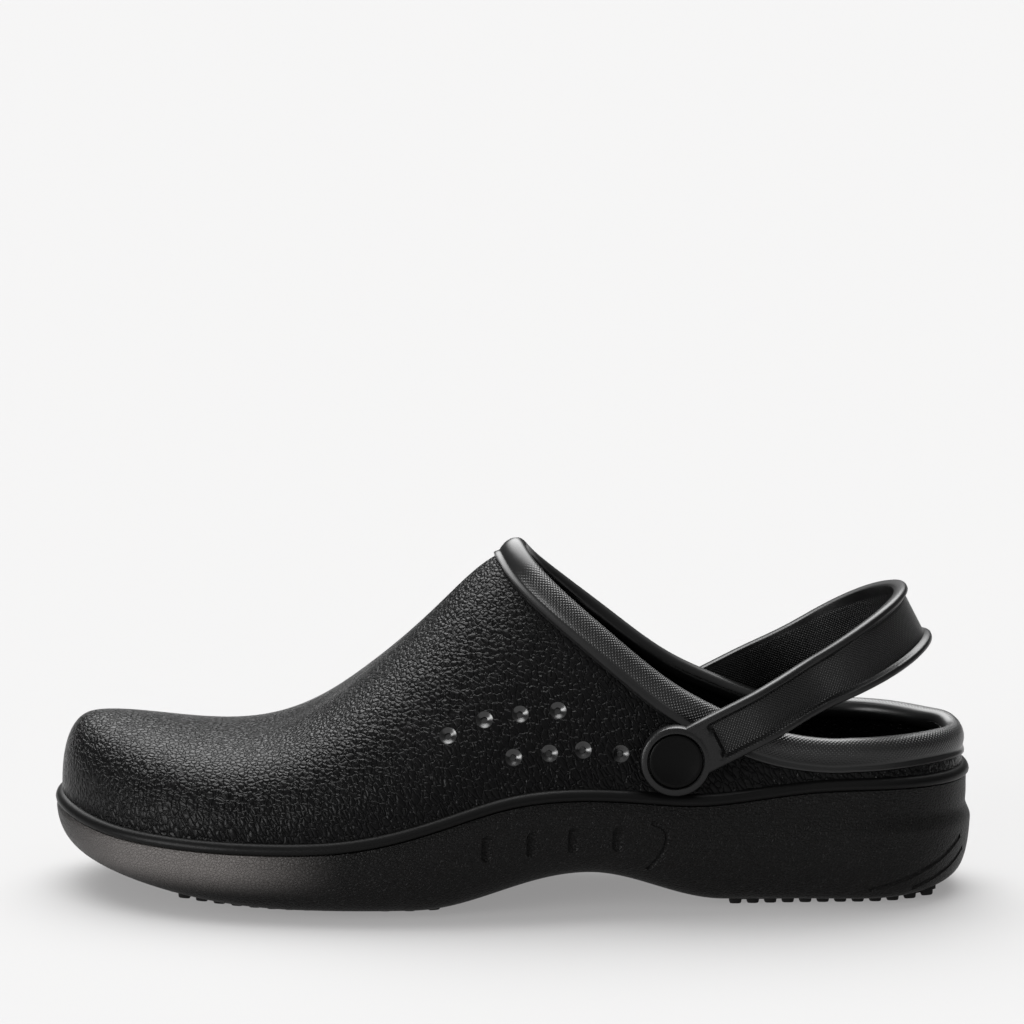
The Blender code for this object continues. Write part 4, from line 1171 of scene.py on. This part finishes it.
def strap_path(steps, bend_steps):
    """Places (along, across) of the band's middle in the strap's plane, from eye to eye."""
    straight = STRAP_LENGTH - STRAP_HEEL_RADIUS
    halves = []
    for side in (LATERAL, MEDIAL):
        start = eye_seat(side) + STRAP_THICKNESS / 2
        half = []
        for i in range(steps + 1):
            ease = smooth_step((i / steps - 0.50) / 0.50)
            half.append((i / steps * straight, side * (start + (STRAP_HEEL_RADIUS - start) * ease)))
        for i in range(1, bend_steps + 1):
            angle = math.pi / 2 * i / bend_steps
            along = straight + STRAP_HEEL_RADIUS * math.sin(angle)
            half.append((along, side * STRAP_HEEL_RADIUS * math.cos(angle)))
        halves.append(half)
    return halves[0] + halves[1][-2::-1]


path = strap_path(60, 44)
outer_side = [-0.5 + i / 56 for i in range(57)]
points, travel, tracks = [], 0.0, []
for i, (u, v) in enumerate(path):
    u0, v0 = path[max(i - 1, 0)]
    u1, v1 = path[min(i + 1, len(path) - 1)]
    length = math.hypot(u1 - u0, v1 - v0)
    out_u, out_v = -(v1 - v0) / length, (u1 - u0) / length
    if out_u * u + out_v * v < 0:
        out_u, out_v = -out_u, -out_v
    width = STRAP_WIDTH + STRAP_WIDER_AT_HEEL * float(smooth_step((u / STRAP_LENGTH - 0.45) / 0.5))
    section = []
    for share in outer_side:
        across = share * width
        to_edge = width / 2 - abs(across)
        clear_of_eye = smooth_step((math.hypot(u, across) - EYE_RADIUS * 1.28) / 0.0014)
        clear_of_rim = smooth_step((to_edge - STRAP_RIM * 0.62) / (STRAP_RIM * 0.45))
        sunk = (STRAP_THICKNESS - STRAP_WEB) * float(clear_of_eye * clear_of_rim)
        curl = STRAP_EDGE - math.sqrt(max(STRAP_EDGE**2 - max(STRAP_EDGE - to_edge, 0.0) ** 2, 0.0))
        section.append((across, STRAP_THICKNESS / 2 - sunk - curl))
    for share, raised in ((0.497, 0.0012), (0.490, 0.0005), (0.475, 0.0001), (0.45, 0.0)):
        section.append((share * width, -STRAP_THICKNESS / 2 + raised))
    for share, raised in ((-0.45, 0.0), (-0.475, 0.0001), (-0.490, 0.0005), (-0.497, 0.0012)):
        section.append((share * width, -STRAP_THICKNESS / 2 + raised))
    if i:
        travel += math.hypot(u - path[i - 1][0], v - path[i - 1][1])
    tracks.append([(travel, across) for across, _ in section])
    points += [(u + out_u * out, v + out_v * out, across) for across, out in section]
count = len(section)
faces = loop_faces(len(path), count) + end_faces(len(path), count)
uvs = []
for i in range(len(path) - 1):
    for k in range(count):
        after = (k + 1) % count
        uvs += [tracks[i][k], tracks[i][after], tracks[i + 1][after], tracks[i + 1][k]]
uvs += [(0.0, 0.0)] * (2 * count)
turn = Matrix.Translation(PIVOT) @ Matrix.Rotation(-STRAP_TILT, 4, "Y")
strap = mesh_object("strap_band", [turn @ Vector(p) for p in points], faces, uvs)
for side in (LATERAL, MEDIAL):
    low = eye_seat(side) - 0.0001
    high = low + STRAP_THICKNESS + 0.0002
    disc = [(0, high), (EYE_RADIUS - 0.0009, high), (EYE_RADIUS - 0.0003, high - 0.0003)]
    disc += [(EYE_RADIUS, high - 0.0009), (EYE_RADIUS, low + 0.0004), (EYE_RADIUS - 0.0004, low), (0, low)]
    shape, faces = turned(disc, 96, across_at_pivot(side))
    eye = mesh_object("eye", shape, faces, [(0.0, 0.0)] * (4 * len(faces)))
    cut(strap, eye, "UNION")
for side in (LATERAL, MEDIAL):
    inner = eye_seat(side)
    seat = inner + STRAP_THICKNESS - CAP_THICKNESS - 0.0003
    bore = [
        (0, BALL_WIDTH),
        (CAP_RADIUS + 0.0006, BALL_WIDTH),
        (CAP_RADIUS + 0.0006, inner + STRAP_THICKNESS),
        (CAP_RADIUS + 0.0003, inner + STRAP_THICKNESS - 0.0004),
        (CAP_RADIUS + 0.0003, seat),
        (POST_BORE, seat),
        (POST_BORE, inner / 2),
        (0, inner / 2),
    ]
    shape, faces = turned(bore, 96, across_at_pivot(side))
    cut(strap, mesh_object("bore", shape, faces))
look, tree, shader, coords = foam(
    "strap foam", (0.0022, 0.0022, 0.0023), (0.0036, 0.0036, 0.0037), 0.33, 0.28
)
uv = node(tree, "ShaderNodeUVMap", uv_map="UVMap").outputs["UV"]
parts = node(tree, "ShaderNodeSeparateXYZ", {"Vector": uv}).outputs
web = fade(tree, number(tree, "ABSOLUTE", parts["Y"]), *STRAP_DOTS_ACROSS, curve="LINEAR")
beyond_eye = fade(tree, parts["X"], *STRAP_DOTS_ALONG, curve="LINEAR")
where = number(tree, "MULTIPLY", web, beyond_eye)
dots = number(tree, "MULTIPLY", dotted(tree, uv, STRAP_DOT_PITCH), where)
height = number(tree, "MULTIPLY_ADD", noise(tree, coords, 1600.0, 2.0), 0.5, dots)
bumped(tree, shader, height, 0.00012)
strap.data.materials.clear()
dress(strap, look)
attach(strap, "root")
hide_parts("heel_strap")

# A flat round cap with a post holds each eye of the strap, and a ring inside the upper holds the
# post. A low boss on the upper carries the eye. Caps and rings are harder, smooth plastic.
BOSS_RADIUS = 0.0092
RING_DEPTH = 0.0016
RING_GAP = 0.0024
look, tree, shader, coords = foam(
    "cap plastic", (0.0018, 0.0018, 0.0018), (0.0028, 0.0028, 0.0028), 0.36, 0.06
)
bumped(tree, shader, noise(tree, coords, 1900.0, 2.0), 0.00004, 0.5)
for side_name, side in (("lateral", LATERAL), ("medial", MEDIAL)):
    hit, _ = on_side(side, PIVOT.x, PIVOT.z)
    wall = abs(hit.y)
    inside = wall - WALL - RING_GAP
    face = eye_seat(side) + STRAP_THICKNESS
    low = face - CAP_THICKNESS
    cap_profile = [
        (0, face - 0.0003),
        (CAP_RADIUS - 0.0016, face - 0.0003),
        (CAP_RADIUS - 0.0012, face - 0.0001),
        (CAP_RADIUS - 0.0006, face - 0.0001),
        (CAP_RADIUS - 0.0002, face - 0.0003),
        (CAP_RADIUS, face - 0.0007),
        (CAP_RADIUS, low),
        (POST_RADIUS, low),
        (POST_RADIUS, inside - RING_DEPTH),
        (0, inside - RING_DEPTH),
    ]
    ring_profile = [
        (POST_BORE, inside),
        (0.0063, inside),
        (0.0065, inside - 0.0002),
        (0.0065, inside - 0.0009),
        (0.0062, inside - 0.0013),
        (0.0057, inside - RING_DEPTH),
        (POST_BORE, inside - RING_DEPTH),
        (POST_BORE, inside),
    ]
    outer = eye_seat(side) - 0.0003
    boss_profile = [
        (POST_BORE, wall - WALL / 2),
        (BOSS_RADIUS, wall - WALL / 2),
        (BOSS_RADIUS, outer - 0.0004),
        (0.0089, outer),
        (POST_BORE, outer),
        (POST_BORE, wall - WALL / 2),
    ]
    for name, profile, replaced in (
        (f"cap_{side_name}", cap_profile, f"rivet_cap_{side_name}"),
        (f"post_ring_{side_name}", ring_profile, f"rivet_back_{side_name}"),
        (f"strap_boss_{side_name}", boss_profile, None),
    ):
        shape, faces = turned(profile, 96, across_at_pivot(side))
        piece = mesh_object(name, shape, faces)
        dress(piece, look if replaced else bead.data.materials[0], 30)
        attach(piece, "root")
        if replaced:
            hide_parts(replaced)

# The studio: a pale floor that runs out of the picture and glows a little, a soft light high behind
# the clog, a low one off its toe and little light from the front, so that highlights shape the foam.
FLOOR_TONE = 0.246
FLOOR_GLOW = 0.27
#       height of the heading, radiance
SKY = [
    (0.01, 0.10),
    (0.06, 0.10),
    (0.50, 0.22),
    (1.00, 0.42),
]
#            azimuth from the back, elevation, outer and inner radius in degrees, radiance
SOFTBOXES = [
    (-8, 60, 42, 8, 10.0),
    (-128, 4, 26, 6, 13.0),
    (170, 40, 50, 15, 0.35),
]
floor_mesh = bpy.data.meshes.new("floor")
floor_mesh.from_pydata([(-20, -20, 0), (20, -20, 0), (20, 20, 0), (-20, 20, 0)], [], [(0, 1, 2, 3)])
floor = put_in_scene("floor", floor_mesh)
pale = bpy.data.materials.new("pale floor")
pale.use_nodes = True
paint = pale.node_tree.nodes["Principled BSDF"].inputs
paint["Base Color"].default_value = (FLOOR_TONE, FLOOR_TONE, FLOOR_TONE, 1)
paint["Emission Color"].default_value = (1, 0.985, 0.985, 1)
paint["Emission Strength"].default_value = FLOOR_GLOW
paint["Roughness"].default_value = 0.9
paint["Specular IOR Level"].default_value = 0.0
floor_mesh.materials.append(pale)

world = bpy.data.worlds.new("studio")
world.use_nodes = True
bpy.context.scene.world = world
tree = world.node_tree
sky = tree.nodes["Background"]
heading = node(tree, "ShaderNodeTexCoord").outputs["Generated"]
up = node(tree, "ShaderNodeSeparateXYZ", {"Vector": heading}).outputs["Z"]
bands = node(tree, "ShaderNodeValToRGB", {"Fac": up})
ramp = bands.color_ramp
for element, (position, level) in zip(ramp.elements, (SKY[0], SKY[-1])):
    element.position = position
    element.color = (level, level, level, 1)
for position, level in SKY[1:-1]:
    ramp.elements.new(position).color = (level, level, level, 1)
total = bands.outputs["Color"]
for azimuth, elevation, outer, inner, level in SOFTBOXES:
    a, e = math.radians(azimuth), math.radians(elevation)
    aim = (math.sin(a) * math.cos(e), math.cos(a) * math.cos(e), math.sin(e))
    nearness = node(tree, "ShaderNodeVectorMath", {0: heading, 1: aim}, operation="DOT_PRODUCT")
    start, end = math.cos(math.radians(outer)), math.cos(math.radians(inner))
    glow = fade(tree, nearness.outputs["Value"], start, end, 0.0, level)
    total = node(tree, "ShaderNodeVectorMath", {0: total, 1: glow}, operation="ADD").outputs["Vector"]
tree.links.new(total, sky.inputs["Color"])
sky.inputs["Strength"].default_value = 1.0

camera = bpy.data.cameras.new("camera")
camera.sensor_width = 36
camera.lens = 153.8
camera.clip_start = 0.05
camera.clip_end = 60
viewer = put_in_scene("camera", camera)
viewer.location = (0.0002, -1.3694, 0.3361)
viewer.rotation_euler = (math.radians(81.07), 0, 0)
bpy.context.scene.camera = viewer
bpy.context.scene.view_settings.view_transform = "Standard"
